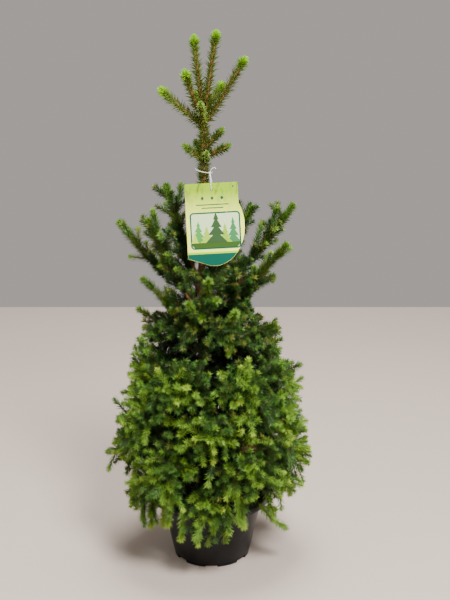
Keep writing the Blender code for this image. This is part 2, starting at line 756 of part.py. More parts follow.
def build_string(material):
    """The string: a slack loop round the needled leader, a knot, a loose end, and a double strand
    down to the tag, where it passes through the hole."""
    centre = trunk_axis(STRING_LOOP_HEIGHT)
    radius = SLEEVE_SPIKE + CLEARANCE + STRING_RADIUS
    tilt = Matrix.Rotation(STRING_LOOP_TILT, 4, "Y")
    bm = bmesh.new()
    rings = []
    for step in range(STRING_LOOP_STEPS):
        angle = 2 * math.pi * step / STRING_LOOP_STEPS
        out = Vector((math.cos(angle), math.sin(angle), 0.0))
        ring = []
        for corner in range(STRING_SIDES):
            around = 2 * math.pi * corner / STRING_SIDES
            place = out * (radius + STRING_RADIUS * math.cos(around))
            place.z = STRING_RADIUS * math.sin(around)
            ring.append(bm.verts.new(centre + tilt @ place))
        rings.append(ring)
    for step in range(STRING_LOOP_STEPS):
        low, high = rings[step], rings[(step + 1) % STRING_LOOP_STEPS]
        for corner in range(STRING_SIDES):
            after = (corner + 1) % STRING_SIDES
            bm.faces.new((low[corner], low[after], high[after], high[corner]))
    loop = finish_mesh("loop", bm)

    out = Vector((math.cos(STRING_KNOT_ANGLE), math.sin(STRING_KNOT_ANGLE), 0.0))
    knot = centre + tilt @ out * radius
    bm = bmesh.new()
    bmesh.ops.create_icosphere(bm, subdivisions=1, radius=STRING_KNOT_RADIUS,
                               matrix=Matrix.Translation(knot))
    knot_mesh = finish_mesh("knot", bm)

    hang = tag_matrix()
    clear = TAG_THICKNESS / 2 + CLEARANCE + STRING_RADIUS + STRAND_CLEAR
    front_low = hang @ Vector((-STRAND_SIDE / 2, -clear, STRAND_LOW))
    front_high = knot.lerp(hang @ Vector((-STRAND_SIDE, -2 * clear, STRAND_HIGH)), 0.5)
    in_hole = hang @ Vector((0.0, 0.0, -TAG_HOLE_RADIUS / 2))
    back_low = hang @ Vector((STRAND_SIDE / 2, clear, STRAND_LOW))
    back_high = hang @ Vector((STRAND_SIDE, clear + STRAND_CLEAR, STRAND_HIGH))
    guides = (knot, front_high, front_low, in_hole, back_low, back_high, knot)
    points = smooth_points(guides, STRAND_STEPS)
    strand = tube_mesh("strand", points, [STRING_RADIUS] * len(points), STRING_SIDES)
    end_guides = [knot] + [knot + Vector(offset) for offset in LOOSE_END]
    points = smooth_points(end_guides, LOOSE_END_STEPS)
    loose_end = tube_mesh("loose_end", points, [STRING_RADIUS] * len(points), STRING_SIDES)
    string = fuse("tag_string", [knot_mesh, loop, strand, loose_end], material)
    shade_round(string, 60)


def lay_out_stems(crown):
    """Each mass's stem path, by name, and each bough's, from the whorls' sizes."""
    stems = {}
    boughs = {}
    for whorl, sizes in WHORLS.items():
        for number, reach in enumerate(sizes["reaches"]):
            azimuth = sizes["azimuth"] + WHORL_STEP * number
            foot = trunk_axis(sizes["foot"] + STAGGER * (number % 2))
            bend_height = sizes["bend"] + STAGGER * (number % 2)
            bend = place_at(azimuth, reach * sizes["bend_out"], bend_height)
            tip = place_at(azimuth, reach, sizes["tip"])
            stems[f"{whorl}_foliage_{number + 1}"] = limb_path(foot, bend, tip)
    for number, (azimuth, reach, height) in enumerate(WAIST["tips"]):
        foot = trunk_axis(WAIST["foot"] + STAGGER * (number % 3))
        bend_height = foot.z + (height - foot.z) * WAIST["bend"]
        bend = place_at(azimuth, reach * WAIST["bend_out"], bend_height)
        stems[f"waist_foliage_{number + 1}"] = limb_path(foot, bend, place_at(azimuth, reach, height))
    for number, (azimuth, reach, height, foot_height) in enumerate(CROWN["tips"]):
        foot = trunk_axis(foot_height)
        tip = place_at(azimuth, reach, height)
        bend = foot.lerp(place_at(azimuth, reach, foot_height), CROWN["bend_out"])
        bend.z = foot_height + (height - foot_height) * CROWN["bend"]
        boughs[f"bough_{number + 1}"] = limb_path(foot, bend, tip, 0.0, BOUGH_SHARE)
        stem = limb_path(foot, bend, tip, BOUGH_SHARE, 1.0)
        stem[0] += (stem[1] - stem[0]).normalized() * CLEARANCE
        stems[f"crown_foliage_{number + 1}"] = stem
    for name, path in stems.items():
        crown.add_path(name, path)
    for name, path in boughs.items():
        crown.add_path(name, path, LIMB_FOOT_RADIUS)
    trunk = [trunk_axis(height) for height in TRUNK_HEIGHTS]
    for number in range(len(trunk) - 1):
        crown.add_path("trunk", trunk[number:number + 2], TRUNK_RADII[number])
    crown.add_path("leader", [trunk[-1], trunk[-1] + Vector((0.0, 0.0, 0.1))], LEADER_SPIKE)
    crown.add_path("second", [trunk_axis(SLEEVE_FOOT), trunk[-1]], SLEEVE_SPIKE)
    crown.freeze()
    return stems, boughs


def build_boughs(boughs, material):
    """The crown's bare limbs, each cut to the trunk's side."""
    for name, path in boughs.items():
        points = [along_path(path, step / LIMB_RINGS)[0] for step in range(LIMB_RINGS + 1)]
        taper = (LIMB_JOIN_RADIUS - LIMB_FOOT_RADIUS) / LIMB_RINGS
        radii = [LIMB_FOOT_RADIUS + taper * row for row in range(LIMB_RINGS + 1)]
        bough = add_object(name, tube_mesh(name, points, radii, LIMB_SIDES), material)
        cut(bough, trunk_mesh("trunk_space", CLEARANCE))


def build_foliage(crown, stems, material):
    """Every mass that grows round one stem."""
    kinds = dict(WHORLS, waist=WAIST, crown=CROWN)
    for name, path in stems.items():
        whorl = name.split("_")[0]
        sizes = kinds[whorl]
        meshes = [core_mesh(crown, name, path, sizes["core"], sizes["core_reach"])]
        meshes.append(stem_mesh(crown, name, path, sizes["stem_bare"]))
        for start, end in side_shoots(crown, name, path, sizes):
            meshes.append(shoot_mesh(name, start, end, SHOOT_SPIKE, sizes["shoot_bare"]))
        mass = fuse(name, meshes, material)
        if whorl != "crown":
            cut(mass, trunk_mesh("trunk_space", CLEARANCE))


def sleeve_mesh(name, foot_height, top_height):
    """Needles all round a stretch of the trunk, solid until the trunk's space is cut out."""
    rise = top_height - foot_height
    steps = round(rise / RING_SPACING)
    points = [trunk_axis(foot_height + rise * step / steps) for step in range(steps + 1)]
    spikes = [0.0] + [SLEEVE_SPIKE] * (steps - 1) + [0.0]
    return tube_mesh(name, points, [SLEEVE_CORE] * (steps + 1), SLEEVE_SIDES, spikes)


def build_top(material):
    """The needled leader, the second whorl's small shoots and the tuft of shoots at the fork."""
    sleeve = add_object("leader_needles", sleeve_mesh("leader_needles", SLEEVE_FOOT, SLEEVE_TOP), material)
    cut(sleeve, trunk_mesh("trunk_space", CLEARANCE))

    meshes = [sleeve_mesh("second_foliage", SLEEVE_TOP + 2 * SPIKE_GAP, SECOND_TOP)]
    for foot, azimuth, reach, height in SECOND_SHOOTS:
        tip = place_at(azimuth, reach, height)
        meshes.append(shoot_mesh("shoot", trunk_axis(foot), tip, LEADER_SPIKE, SLEEVE_CORE / reach))
    second = fuse("second_foliage", meshes, material)
    cut(second, trunk_mesh("trunk_space", CLEARANCE))

    foot = trunk_axis(FORK_HEIGHT) + Vector((0.0, 0.0, CLEARANCE))
    knee = foot + Vector((KNEE_SIDEWAYS, 0.0, KNEE_RISE))
    tip = place_at(*LEADER_TIP)
    points = straight_points(foot, knee, RING_SPACING)[:-1]
    points += straight_points(knee, tip, RING_SPACING)
    last = len(points) - 1
    radii = [TRUNK_RADII[-1] + (SHOOT_CORE - TRUNK_RADII[-1]) * row / last for row in range(last + 1)]
    spikes = [0.0, 0.0] + [LEADER_SPIKE] * (last - 2) + [LEADER_SPIKE * LAST_SPIKE]
    meshes = [tube_mesh("leader", points, radii, SHOOT_SIDES, spikes, SHOOT_POINT)]
    for foot_height, azimuth, reach, height in LEADER_SHOOTS:
        start = foot.lerp(knee, (foot_height - FORK_HEIGHT) / KNEE_RISE)
        tip = place_at(azimuth, reach, height)
        meshes.append(shoot_mesh("shoot", start, tip, LEADER_SPIKE, LEADER_BARE))
    fuse("leader_foliage", meshes, material)


def main():
    """Build the whole plant and its pot."""
    remove_everything()
    black_plastic = make_material("black_plastic", (0.012, 0.013, 0.014), 0.55)
    soil = make_material("potting_soil", (0.030, 0.018, 0.010), 0.95)
    bark = make_material("bark", (0.12, 0.065, 0.035), 0.85)
    needles = make_material("needles", (0.10, 0.24, 0.035), 0.6)
    card = make_material("printed_card", (0.45, 0.62, 0.12), 0.35)
    string = make_material("white_string", (0.80, 0.80, 0.78), 0.7)
    build_pot(black_plastic)
    build_soil(soil)
    trunk = add_object("trunk", trunk_mesh("trunk", 0.0), bark)
    shade_round(trunk, 50)
    crown = Crown()
    stems, boughs = lay_out_stems(crown)
    build_boughs(boughs, bark)
    build_foliage(crown, stems, needles)
    build_top(needles)
    build_tag(card)
    build_string(string)


main()
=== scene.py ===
"""Potted norway spruce: a dwarf tree in a black nursery pot, with a hang tag tied to its leader.

Metres, +Z up, front towards -Y, with the origin at the middle of the pot's underside.
"""

import math
import random

import bmesh
import bpy
import numpy
from mathutils import Matrix, Vector, noise


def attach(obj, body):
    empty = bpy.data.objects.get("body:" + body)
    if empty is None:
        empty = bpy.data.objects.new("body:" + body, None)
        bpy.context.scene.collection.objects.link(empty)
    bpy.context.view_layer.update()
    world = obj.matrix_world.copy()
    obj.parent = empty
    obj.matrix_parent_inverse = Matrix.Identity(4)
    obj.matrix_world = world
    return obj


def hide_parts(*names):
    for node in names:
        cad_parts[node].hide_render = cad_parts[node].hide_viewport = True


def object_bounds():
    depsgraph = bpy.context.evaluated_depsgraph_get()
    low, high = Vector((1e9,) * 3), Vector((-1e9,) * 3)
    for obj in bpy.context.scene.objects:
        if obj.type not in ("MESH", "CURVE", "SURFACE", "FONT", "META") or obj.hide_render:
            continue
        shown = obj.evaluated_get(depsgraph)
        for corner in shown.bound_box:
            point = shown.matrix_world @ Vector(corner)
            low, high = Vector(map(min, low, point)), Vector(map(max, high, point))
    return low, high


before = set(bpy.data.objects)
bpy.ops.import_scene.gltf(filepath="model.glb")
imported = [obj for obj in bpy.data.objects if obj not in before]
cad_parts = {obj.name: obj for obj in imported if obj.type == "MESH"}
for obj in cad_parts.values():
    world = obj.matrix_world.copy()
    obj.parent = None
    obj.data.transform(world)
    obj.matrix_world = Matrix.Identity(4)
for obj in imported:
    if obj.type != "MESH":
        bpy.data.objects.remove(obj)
cad_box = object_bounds()


# Pot
# A round nursery pot, injection moulded in black polypropylene with recycled content. It is thin
# walled, with a rolled lip, a faint collar line, a foot band and seven drain notches in its foot.
POT_HEIGHT = 0.131
POT_FOOT_RADIUS = 0.075
POT_BAND_HEIGHT = 0.008
POT_BAND_STEP = 0.0012
POT_COLLAR_HEIGHT = 0.107
POT_COLLAR_STEP = 0.0009
POT_SHOULDER_RADIUS = 0.1045
POT_LIP_RADIUS = 0.115
POT_LIP_DEPTH = 0.013
POT_LIP_ROUND = 0.0016
POT_WALL = 0.0018
POT_FLOOR = 0.003
POT_SIDES = 120
POT_SHARP = math.radians(32)
NOTCHES = 7
NOTCH_TOP_WIDTH = 0.0235
NOTCH_FOOT_WIDTH = 0.0265
NOTCH_HEIGHT = 0.0072
NOTCH_REACH_IN = 0.007
NOTCH_BELOW = -0.005
NOTCH_DEPTH = 0.03
POT_BLACK = "0b0b0d"
POT_SCUFF = "2b2c2f"


def linear(hex_colour):
    """An sRGB hex colour as linear red, green and blue, with an alpha of 1."""
    values = [int(hex_colour[place:place + 2], 16) / 255 for place in (0, 2, 4)]
    return [v / 12.92 if v <= 0.04045 else ((v + 0.055) / 1.055) ** 2.4 for v in values] + [1.0]


def fill_inputs(node, inputs):
    """Set a node's inputs to values, or link them to sockets or to other nodes' first outputs."""
    for name, value in inputs.items():
        if isinstance(value, bpy.types.Node):
            value = value.outputs[0]
        if isinstance(value, bpy.types.NodeSocket):
            node.id_data.links.new(value, node.inputs[name])
        else:
            node.inputs[name].default_value = value


def add_node(tree, kind, inputs, **settings):
    """Add a node with its properties and its inputs."""
    node = tree.nodes.new(kind)
    for name, value in settings.items():
        setattr(node, name, value)
    fill_inputs(node, inputs)
    return node


def new_material(name, colour, roughness, gloss=0.5):
    """A material in one colour, with its node tree and its shader."""
    material = bpy.data.materials.new(name)
    material.use_nodes = True
    shader = material.node_tree.nodes["Principled BSDF"]
    fill_inputs(shader, {"Base Color": linear(colour), "Roughness": roughness, "Specular IOR Level": gloss})
    return material, material.node_tree, shader


def add_object(name, data):
    """A new object in the scene."""
    thing = bpy.data.objects.new(name, data)
    bpy.context.scene.collection.objects.link(thing)
    return thing


def place_piece(name, mesh, slot, *replaced):
    """Put a finished mesh in the scene as a piece of the plant, in place of the named solids."""
    piece = add_object(name, mesh)
    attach(piece, "root")
    if replaced:
        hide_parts(*replaced)


def shares(steps):
    """Shares from 0 to 1 in even steps."""
    return [step / steps for step in range(steps + 1)]


def join_rings(bm, rings):
    """Faces between each ring of points and the next."""
    for low, high in zip(rings, rings[1:]):
        for side in range(len(low)):
            after = (side + 1) % len(low)
            bm.faces.new(tuple(dict.fromkeys((low[side], low[after], high[after], high[side]))))


def closed_mesh(name, bm):
    """The finished mesh of a closed form, with its faces outward."""
    bmesh.ops.recalc_face_normals(bm, faces=bm.faces)
    mesh = bpy.data.meshes.new(name)
    bm.to_mesh(mesh)
    bm.free()
    return mesh


def turned_mesh(name, profile, sides):
    """A closed shape turned round Z, whose profile starts and ends on the axis."""
    bm = bmesh.new()
    angles = [2 * math.pi * side / sides for side in range(sides)]
    rings = []
    for radius, height in profile:
        if radius == 0.0:
            rings.append([bm.verts.new((0.0, 0.0, height))] * sides)
        else:
            rings.append([bm.verts.new((radius * math.cos(a), radius * math.sin(a), height)) for a in angles])
    join_rings(bm, rings)
    return closed_mesh(name, bm)


def arc(x, z, wide, high, start, end, steps):
    """Points on part of an ellipse, from one angle to another in degrees."""
    angles = [math.radians(start + (end - start) * share) for share in shares(steps)]
    return [(x + wide * math.cos(a), z + high * math.sin(a)) for a in angles]


def pot_profile():
    """The pot's outline from the middle of its underside, up its outer side and down its inner side."""
    band = POT_FOOT_RADIUS + POT_BAND_STEP
    collar_share = (POT_COLLAR_HEIGHT - POT_BAND_HEIGHT) / (POT_HEIGHT - POT_BAND_HEIGHT)
    collar = band + (POT_SHOULDER_RADIUS - band) * collar_share - POT_COLLAR_STEP
    lip_foot = POT_HEIGHT - POT_LIP_DEPTH
    lip_inside = POT_LIP_RADIUS - POT_WALL
    wall_top = POT_HEIGHT - POT_WALL
    small = POT_BAND_STEP / 2
    half = POT_WALL / 2
    rim = POT_LIP_ROUND
    inner = POT_SHOULDER_RADIUS - POT_WALL
    return [
        (0.0, 0.0), (POT_FOOT_RADIUS - small, 0.0),
        *arc(POT_FOOT_RADIUS - small, small, small, small, -60, 0, 3),
        (POT_FOOT_RADIUS + small, POT_BAND_HEIGHT - small), (band - small, POT_BAND_HEIGHT),
        *arc(band, POT_BAND_HEIGHT + 2 * small, small, small, -80, 0, 3), (collar, POT_COLLAR_HEIGHT),
        *arc(collar + POT_COLLAR_STEP / 2, POT_COLLAR_HEIGHT + POT_COLLAR_STEP, small, small, -60, 10, 3),
        (POT_SHOULDER_RADIUS, lip_foot), (POT_SHOULDER_RADIUS, wall_top), (lip_inside, wall_top),
        (lip_inside, lip_foot + small), *arc(POT_LIP_RADIUS - half, lip_foot + half, half, half, -180, 0, 5),
        *arc(POT_LIP_RADIUS - rim, POT_HEIGHT - rim, rim, rim, 0, 90, 6),
        *arc(inner + rim, POT_HEIGHT - rim, rim, rim, 90, 180, 6),
        (POT_FOOT_RADIUS - POT_WALL, POT_FLOOR), (0.0, POT_FLOOR),
    ]


def notch_cutters():
    """One mesh with a wedge for each drain notch, a little wider at its foot."""
    bm = bmesh.new()
    reach = POT_FOOT_RADIUS - NOTCH_REACH_IN
    for number in range(NOTCHES):
        turn = Matrix.Rotation(2 * math.pi * number / NOTCHES, 4, "Z")
        rings = [[bm.verts.new(turn @ Vector((x * width / 2, -reach - y * NOTCH_DEPTH, height)))
                  for x, y in ((-1, 0), (1, 0), (1, 1), (-1, 1))]
                 for height, width in ((NOTCH_BELOW, NOTCH_FOOT_WIDTH), (NOTCH_HEIGHT, NOTCH_TOP_WIDTH))]
        join_rings(bm, rings)
        for ring in rings:
            bm.faces.new(ring)
    return closed_mesh("notch_cutters", bm)


def evaluated_mesh(thing):
    """The object's mesh with its modifiers applied, and the object removed."""
    bpy.context.view_layer.update()
    graph = bpy.context.evaluated_depsgraph_get()
    mesh = bpy.data.meshes.new_from_object(thing.evaluated_get(graph))
    bpy.data.objects.remove(thing, do_unlink=True)
    return mesh


def cut_mesh(mesh, cutters):
    """The mesh less the space of the cutters, with no material."""
    thing = add_object("blank", mesh)
    cutter = add_object("cutter", cutters)
    cut = thing.modifiers.new("cut", "BOOLEAN")
    cut.operation = "DIFFERENCE"
    cut.object = cutter
    cut.solver = "EXACT"
    mesh = evaluated_mesh(thing)
    bpy.data.objects.remove(cutter, do_unlink=True)
    mesh.materials.clear()
    return mesh


def moulded_polypropylene():
    """Black pot plastic: a satin skin with a fine grain, rubbed lighter along scuffs and in dusty patches."""
    material, tree, shader = new_material("moulded_polypropylene", POT_BLACK, 0.46, 0.25)
    place = add_node(tree, "ShaderNodeTexCoord", {}).outputs["Object"]
    # Scuffs run round the pot, where it slid against its neighbours: 25 mm long and 1 mm high
    stretched = add_node(tree, "ShaderNodeMapping", {"Vector": place, "Scale": (40, 40, 700)})
    scuffs = add_node(tree, "ShaderNodeTexNoise", {"Vector": stretched, "Scale": 1.0, "Detail": 2.0})
    scuff = add_node(tree, "ShaderNodeMapRange", {
        "Value": scuffs.outputs["Fac"], "From Min": 0.62, "From Max": 0.80, "To Max": 0.55})
    dust = add_node(tree, "ShaderNodeTexNoise", {"Vector": place, "Scale": 26.0, "Detail": 5.0})
    dusty = add_node(tree, "ShaderNodeMapRange", {
        "Value": dust.outputs["Fac"], "From Min": 0.45, "From Max": 0.85, "To Max": 0.35})
    worn = add_node(tree, "ShaderNodeMath", {0: scuff, 1: dusty}, operation="MAXIMUM")
    colour = add_node(tree, "ShaderNodeMix", {
        "Factor": worn, "A": linear(POT_BLACK), "B": linear(POT_SCUFF)}, data_type="RGBA")
    rough = add_node(tree, "ShaderNodeMapRange", {"Value": worn, "To Min": 0.36, "To Max": 0.70})
    # The mould's grain is about 0.8 mm across
    grain = add_node(tree, "ShaderNodeTexNoise", {"Vector": place, "Scale": 1200.0, "Detail": 1.0})
    bump = add_node(tree, "ShaderNodeBump", {
        "Height": grain.outputs["Fac"], "Strength": 0.12, "Distance": 0.0004})
    fill_inputs(shader, {"Base Color": colour.outputs["Result"], "Roughness": rough, "Normal": bump})
    return material


pot_mesh = cut_mesh(turned_mesh("pot_wall", pot_profile(), POT_SIDES), notch_cutters())
pot_mesh.shade_smooth()
pot_mesh.set_sharp_from_angle(angle=POT_SHARP)
pot_mesh.materials.append(moulded_polypropylene())
place_piece("nursery_pot", pot_mesh, "pot_plastic", "pot")


# Soil
# Peat-based potting soil, dark brown and loose, filled to just under the lip and firmed by watering.
# Its top is a crust of crumbs from 1 to 5 mm across.
SOIL_EDGE_HEIGHT = 0.117
SOIL_CROWN_HEIGHT = 0.1205
SOIL_CROWN_RADIUS = 0.030
SOIL_GAP = 0.0003
SOIL_SIDES = 96
SOIL_RINGS = 26
SOIL_ROUGHNESS = 0.0012
SOIL_LUMPS = 160
CRUMBS = 1600
CRUMB_SIZE = 0.0016
CRUMB_SMALLEST = (0.4, 0.4, 0.3)
CRUMB_LARGEST = (1.6, 1.2, 0.9)
CRUMB_SEED = 4
SOIL_DARK = "2a1d14"
SOIL_LIGHT = "4c3827"


def potting_soil():
    """Moist peat: dark brown with paler fibres, and quite matt."""
    material, tree, shader = new_material("potting_soil", SOIL_DARK, 0.95)
    place = add_node(tree, "ShaderNodeTexCoord", {}).outputs["Object"]
    spots = add_node(tree, "ShaderNodeTexNoise", {
        "Vector": place, "Scale": 420.0, "Detail": 4.0}).outputs["Fac"]
    share = add_node(tree, "ShaderNodeMapRange", {"Value": spots, "From Min": 0.40, "From Max": 0.72})
    colour = add_node(tree, "ShaderNodeMix", {
        "Factor": share, "A": linear(SOIL_DARK), "B": linear(SOIL_LIGHT)}, data_type="RGBA")
    bump = add_node(tree, "ShaderNodeBump", {"Height": spots, "Strength": 0.6, "Distance": 0.001})
    fill_inputs(shader, {"Base Color": colour.outputs["Result"], "Normal": bump})
    return material


def soil_radius(height):
    """Radius of the pot's inner wall at a height, less a small gap."""
    foot = POT_FOOT_RADIUS - POT_WALL
    share = (height - POT_FLOOR) / (POT_HEIGHT - POT_FLOOR)
    return foot + (POT_SHOULDER_RADIUS - POT_WALL - foot) * share - SOIL_GAP


def soil_surface():
    """The filled soil, with an uneven top."""
    floor = POT_FLOOR + SOIL_GAP
    edge = soil_radius(SOIL_EDGE_HEIGHT)
    profile = [(0.0, floor), (soil_radius(floor), floor), (edge, SOIL_EDGE_HEIGHT)]
    for ring in range(1, SOIL_RINGS):
        radius = edge * (1 - ring / SOIL_RINGS)
        rise = (edge - max(radius, SOIL_CROWN_RADIUS)) / (edge - SOIL_CROWN_RADIUS)
        profile.append((radius, SOIL_EDGE_HEIGHT + (SOIL_CROWN_HEIGHT - SOIL_EDGE_HEIGHT) * rise))
    profile.append((0.0, SOIL_CROWN_HEIGHT))
    mesh = turned_mesh("soil_surface", profile, SOIL_SIDES)
    for vert in mesh.vertices:
        if vert.co.z > SOIL_EDGE_HEIGHT + SOIL_GAP:
            vert.co.z += SOIL_ROUGHNESS * noise.noise(vert.co * SOIL_LUMPS)
    return mesh


def new_tree(name, **sockets):
    """A geometry node tree with a mesh and a material as inputs, the named inputs and a mesh output."""
    tree = bpy.data.node_groups.new(name, "GeometryNodeTree")
    for socket, kind in dict(Geometry="Geometry", **sockets, Material="Material").items():
        tree.interface.new_socket(socket, in_out="INPUT", socket_type=f"NodeSocket{kind}")
    tree.interface.new_socket("Geometry", in_out="OUTPUT", socket_type="NodeSocketGeometry")
    return tree, tree.nodes.new("NodeGroupInput").outputs


def end_tree(tree, shape, given):
    """End a tree: its instances are made real and have the given material."""
    real = add_node(tree, "GeometryNodeRealizeInstances", {0: shape})
    skinned = add_node(tree, "GeometryNodeSetMaterial", {"Geometry": real, "Material": given["Material"]})
    add_node(tree, "NodeGroupOutput", {0: skinned})
    return tree


def run_tree(tree, base, **values):
    """The plain mesh that a tree makes from a base mesh, with its inputs set by name."""
    thing = add_object("base", base)
    modifier = thing.modifiers.new("grow", "NODES")
    modifier.node_group = tree
    for item in tree.interface.items_tree:
        if item.in_out == "INPUT" and item.name in values:
            modifier[item.identifier] = values[item.name]
    return evaluated_mesh(thing)


def crumb_tree():
    """Crumbs scattered over the faces that look up, each turned and scaled at random."""
    tree, given = new_tree("soil_crumbs", Density="Float", Size="Float", Lowest="Float", Seed="Int")
    spot = add_node(tree, "GeometryNodeInputPosition", {})
    height = add_node(tree, "ShaderNodeSeparateXYZ", {0: spot}).outputs["Z"]
    on_top = add_node(tree, "FunctionNodeCompare", {0: height, 1: given["Lowest"]}, operation="GREATER_THAN")
    points = add_node(tree, "GeometryNodeDistributePointsOnFaces", {
        "Mesh": given["Geometry"], "Selection": on_top, "Density": given["Density"], "Seed": given["Seed"]})
    crumb = add_node(tree, "GeometryNodeMeshIcoSphere", {"Radius": given["Size"], "Subdivisions": 1})
    size = add_node(tree, "FunctionNodeRandomValue", {
        "Min": CRUMB_SMALLEST, "Max": CRUMB_LARGEST, "Seed": given["Seed"]}, data_type="FLOAT_VECTOR")
    turn = add_node(tree, "FunctionNodeRandomValue", {
        "Max": (6.28, 6.28, 6.28), "Seed": given["Seed"]}, data_type="FLOAT_VECTOR")
    crumbs = add_node(tree, "GeometryNodeInstanceOnPoints", {
        "Points": points.outputs["Points"], "Instance": crumb.outputs["Mesh"],
        "Rotation": turn.outputs["Value"], "Scale": size.outputs["Value"]})
    return end_tree(tree, crumbs, given)


peat = potting_soil()
soil_mesh = soil_surface()
crumb_mesh = run_tree(crumb_tree(), soil_mesh.copy(), Size=CRUMB_SIZE, Lowest=SOIL_EDGE_HEIGHT + SOIL_GAP,
                      Density=CRUMBS / (math.pi * soil_radius(SOIL_EDGE_HEIGHT) ** 2), Seed=CRUMB_SEED,
                      Material=peat)
soil_mesh.materials.append(peat)
soil_mesh.shade_smooth()
place_piece("soil_surface", soil_mesh, "soil", "soil")
place_piece("soil_crumbs", crumb_mesh, "soil")


# Trunk
# A single stem of living wood that tapers from 30 mm at its root flare to 12 mm at its fork, with a
# slight lean. Its bark is thin and brown, in small scales that lift a little at their edges.
GROUND_HEIGHT = 0.1213
FORK_HEIGHT = 0.853
TRUNK_HEIGHTS = (GROUND_HEIGHT, 0.128, 0.146, 0.20, 0.30, 0.40, 0.466, 0.55, 0.65, 0.766, FORK_HEIGHT)
TRUNK_LEANS = (0.0, 0.0, -0.001, -0.004, -0.010, -0.017, -0.021, -0.019, -0.016, -0.013, -0.012)
TRUNK_RADII = (0.0150, 0.0122, 0.0100, 0.0092, 0.0084, 0.0076, 0.0072, 0.0070, 0.0068, 0.0066, 0.0058)
ROOT_LOBES = 5
ROOT_LOBE_SIZE = 0.16
ROOT_LOBE_TOP = 0.146
TRUNK_SIDES = 30
TRUNK_RING_STEP = 0.0020
SCALE_WIDTH = 0.0040
SCALE_HEIGHT = 0.0075
SCALE_RELIEF = 0.0006
SCALE_STEEPNESS = 2.5
SCALE_UNEVENNESS = 0.25
SCALE_GRAIN = 3
UPRIGHT = 0.8
BARK_DARK = "3b2619"
BARK_BROWN = "7c5526"
BARK_GREY = "8c7250"


def trunk_axis(height):
    """Middle of the trunk at a height."""
    return Vector((float(numpy.interp(height, TRUNK_HEIGHTS, TRUNK_LEANS)), 0.0, height))


def frame_across(along):
    """Two directions square to the given one."""
    upright = abs(along.normalized().z) > UPRIGHT
    side = along.cross(Vector((0.0, -1.0, 0.0)) if upright else Vector((0.0, 0.0, 1.0))).normalized()
    return side, side.cross(along).normalized()


def around(side, up, angle):
    """The direction at an angle between two that are square to each other."""
    return side * math.cos(angle) + up * math.sin(angle)


def bark_relief(place, size):
    """Height of the bark's scales at a place, from 0 in a crack to 1 on a scale."""
    spot = Vector((place.x / SCALE_WIDTH, place.y / SCALE_WIDTH, place.z / SCALE_HEIGHT)) / size
    near, second = noise.voronoi(spot)[0][:2]
    uneven = 1 - SCALE_UNEVENNESS + SCALE_UNEVENNESS * noise.noise(spot * SCALE_GRAIN)
    return min(1.0, SCALE_STEEPNESS * (second - near)) * uneven


def bark_mesh(name, points, radii, sides, relief, lobes=None):
    """A closed limb along a path, with scales of bark raised on it, and lobes as shares of its radii."""
    bm = bmesh.new()
    side, _ = frame_across(points[-1] - points[0])
    rings = []
    for row, centre in enumerate(points):
        along = (points[min(row + 1, len(points) - 1)] - points[max(row - 1, 0)]).normalized()
        across = (side - along * side.dot(along)).normalized()
        ring = []
        for corner in range(sides):
            angle = 2 * math.pi * corner / sides
            out = around(across, across.cross(along), angle)
            lobe = lobes[row] * math.cos(ROOT_LOBES * angle) if lobes else 0.0
            surface = centre + out * radii[row] * (1 + lobe)
            raised = out * relief * (bark_relief(surface, relief / SCALE_RELIEF) - 1)
            ring.append(bm.verts.new(surface + raised))
        rings.append(ring)
    join_rings(bm, rings)
    bm.faces.new(rings[0])
    bm.faces.new(rings[-1])
    mesh = closed_mesh(name, bm)
    mesh.shade_smooth()
    return mesh


def spruce_bark():
    """Young spruce bark: brown scales with dark cracks, weathered grey in patches, and dry to the eye."""
    material, tree, shader = new_material("spruce_bark", BARK_BROWN, 0.86)
    place = add_node(tree, "ShaderNodeTexCoord", {}).outputs["Object"]
    spot = add_node(tree, "ShaderNodeMapping", {
        "Vector": place, "Scale": (1 / SCALE_WIDTH, 1 / SCALE_WIDTH, 1 / SCALE_HEIGHT)})
    scales = add_node(tree, "ShaderNodeTexVoronoi", {"Vector": spot, "Scale": 1.0},
                      feature="DISTANCE_TO_EDGE")
    crack = add_node(tree, "ShaderNodeMapRange", {"Value": scales.outputs["Distance"], "From Max": 0.16})
    patches = add_node(tree, "ShaderNodeTexNoise", {
        "Vector": place, "Scale": 90.0, "Detail": 4.0}).outputs["Fac"]
    weather = add_node(tree, "ShaderNodeMapRange", {"Value": patches, "From Min": 0.42, "From Max": 0.70})
    skin = add_node(tree, "ShaderNodeMix", {
        "Factor": weather, "A": linear(BARK_BROWN), "B": linear(BARK_GREY)}, data_type="RGBA")
    colour = add_node(tree, "ShaderNodeMix", {
        "Factor": crack, "A": linear(BARK_DARK), "B": skin.outputs["Result"]}, data_type="RGBA")
    bump = add_node(tree, "ShaderNodeBump", {"Height": patches, "Strength": 0.5, "Distance": 0.0006})
    fill_inputs(shader, {"Base Color": colour.outputs["Result"], "Normal": bump})
    return material


bark = spruce_bark()
trunk_rows = [GROUND_HEIGHT + (FORK_HEIGHT - GROUND_HEIGHT) * share
              for share in shares(round((FORK_HEIGHT - GROUND_HEIGHT) / TRUNK_RING_STEP))]
trunk_mesh = bark_mesh(
    "trunk_bark", [trunk_axis(z) for z in trunk_rows],
    [float(numpy.interp(z, TRUNK_HEIGHTS, TRUNK_RADII)) for z in trunk_rows], TRUNK_SIDES, SCALE_RELIEF,
    [ROOT_LOBE_SIZE * max(0.0, (ROOT_LOBE_TOP - z) / (ROOT_LOBE_TOP - GROUND_HEIGHT)) for z in trunk_rows])
trunk_mesh.materials.append(bark)
place_piece("trunk_bark", trunk_mesh, "bark", "trunk")


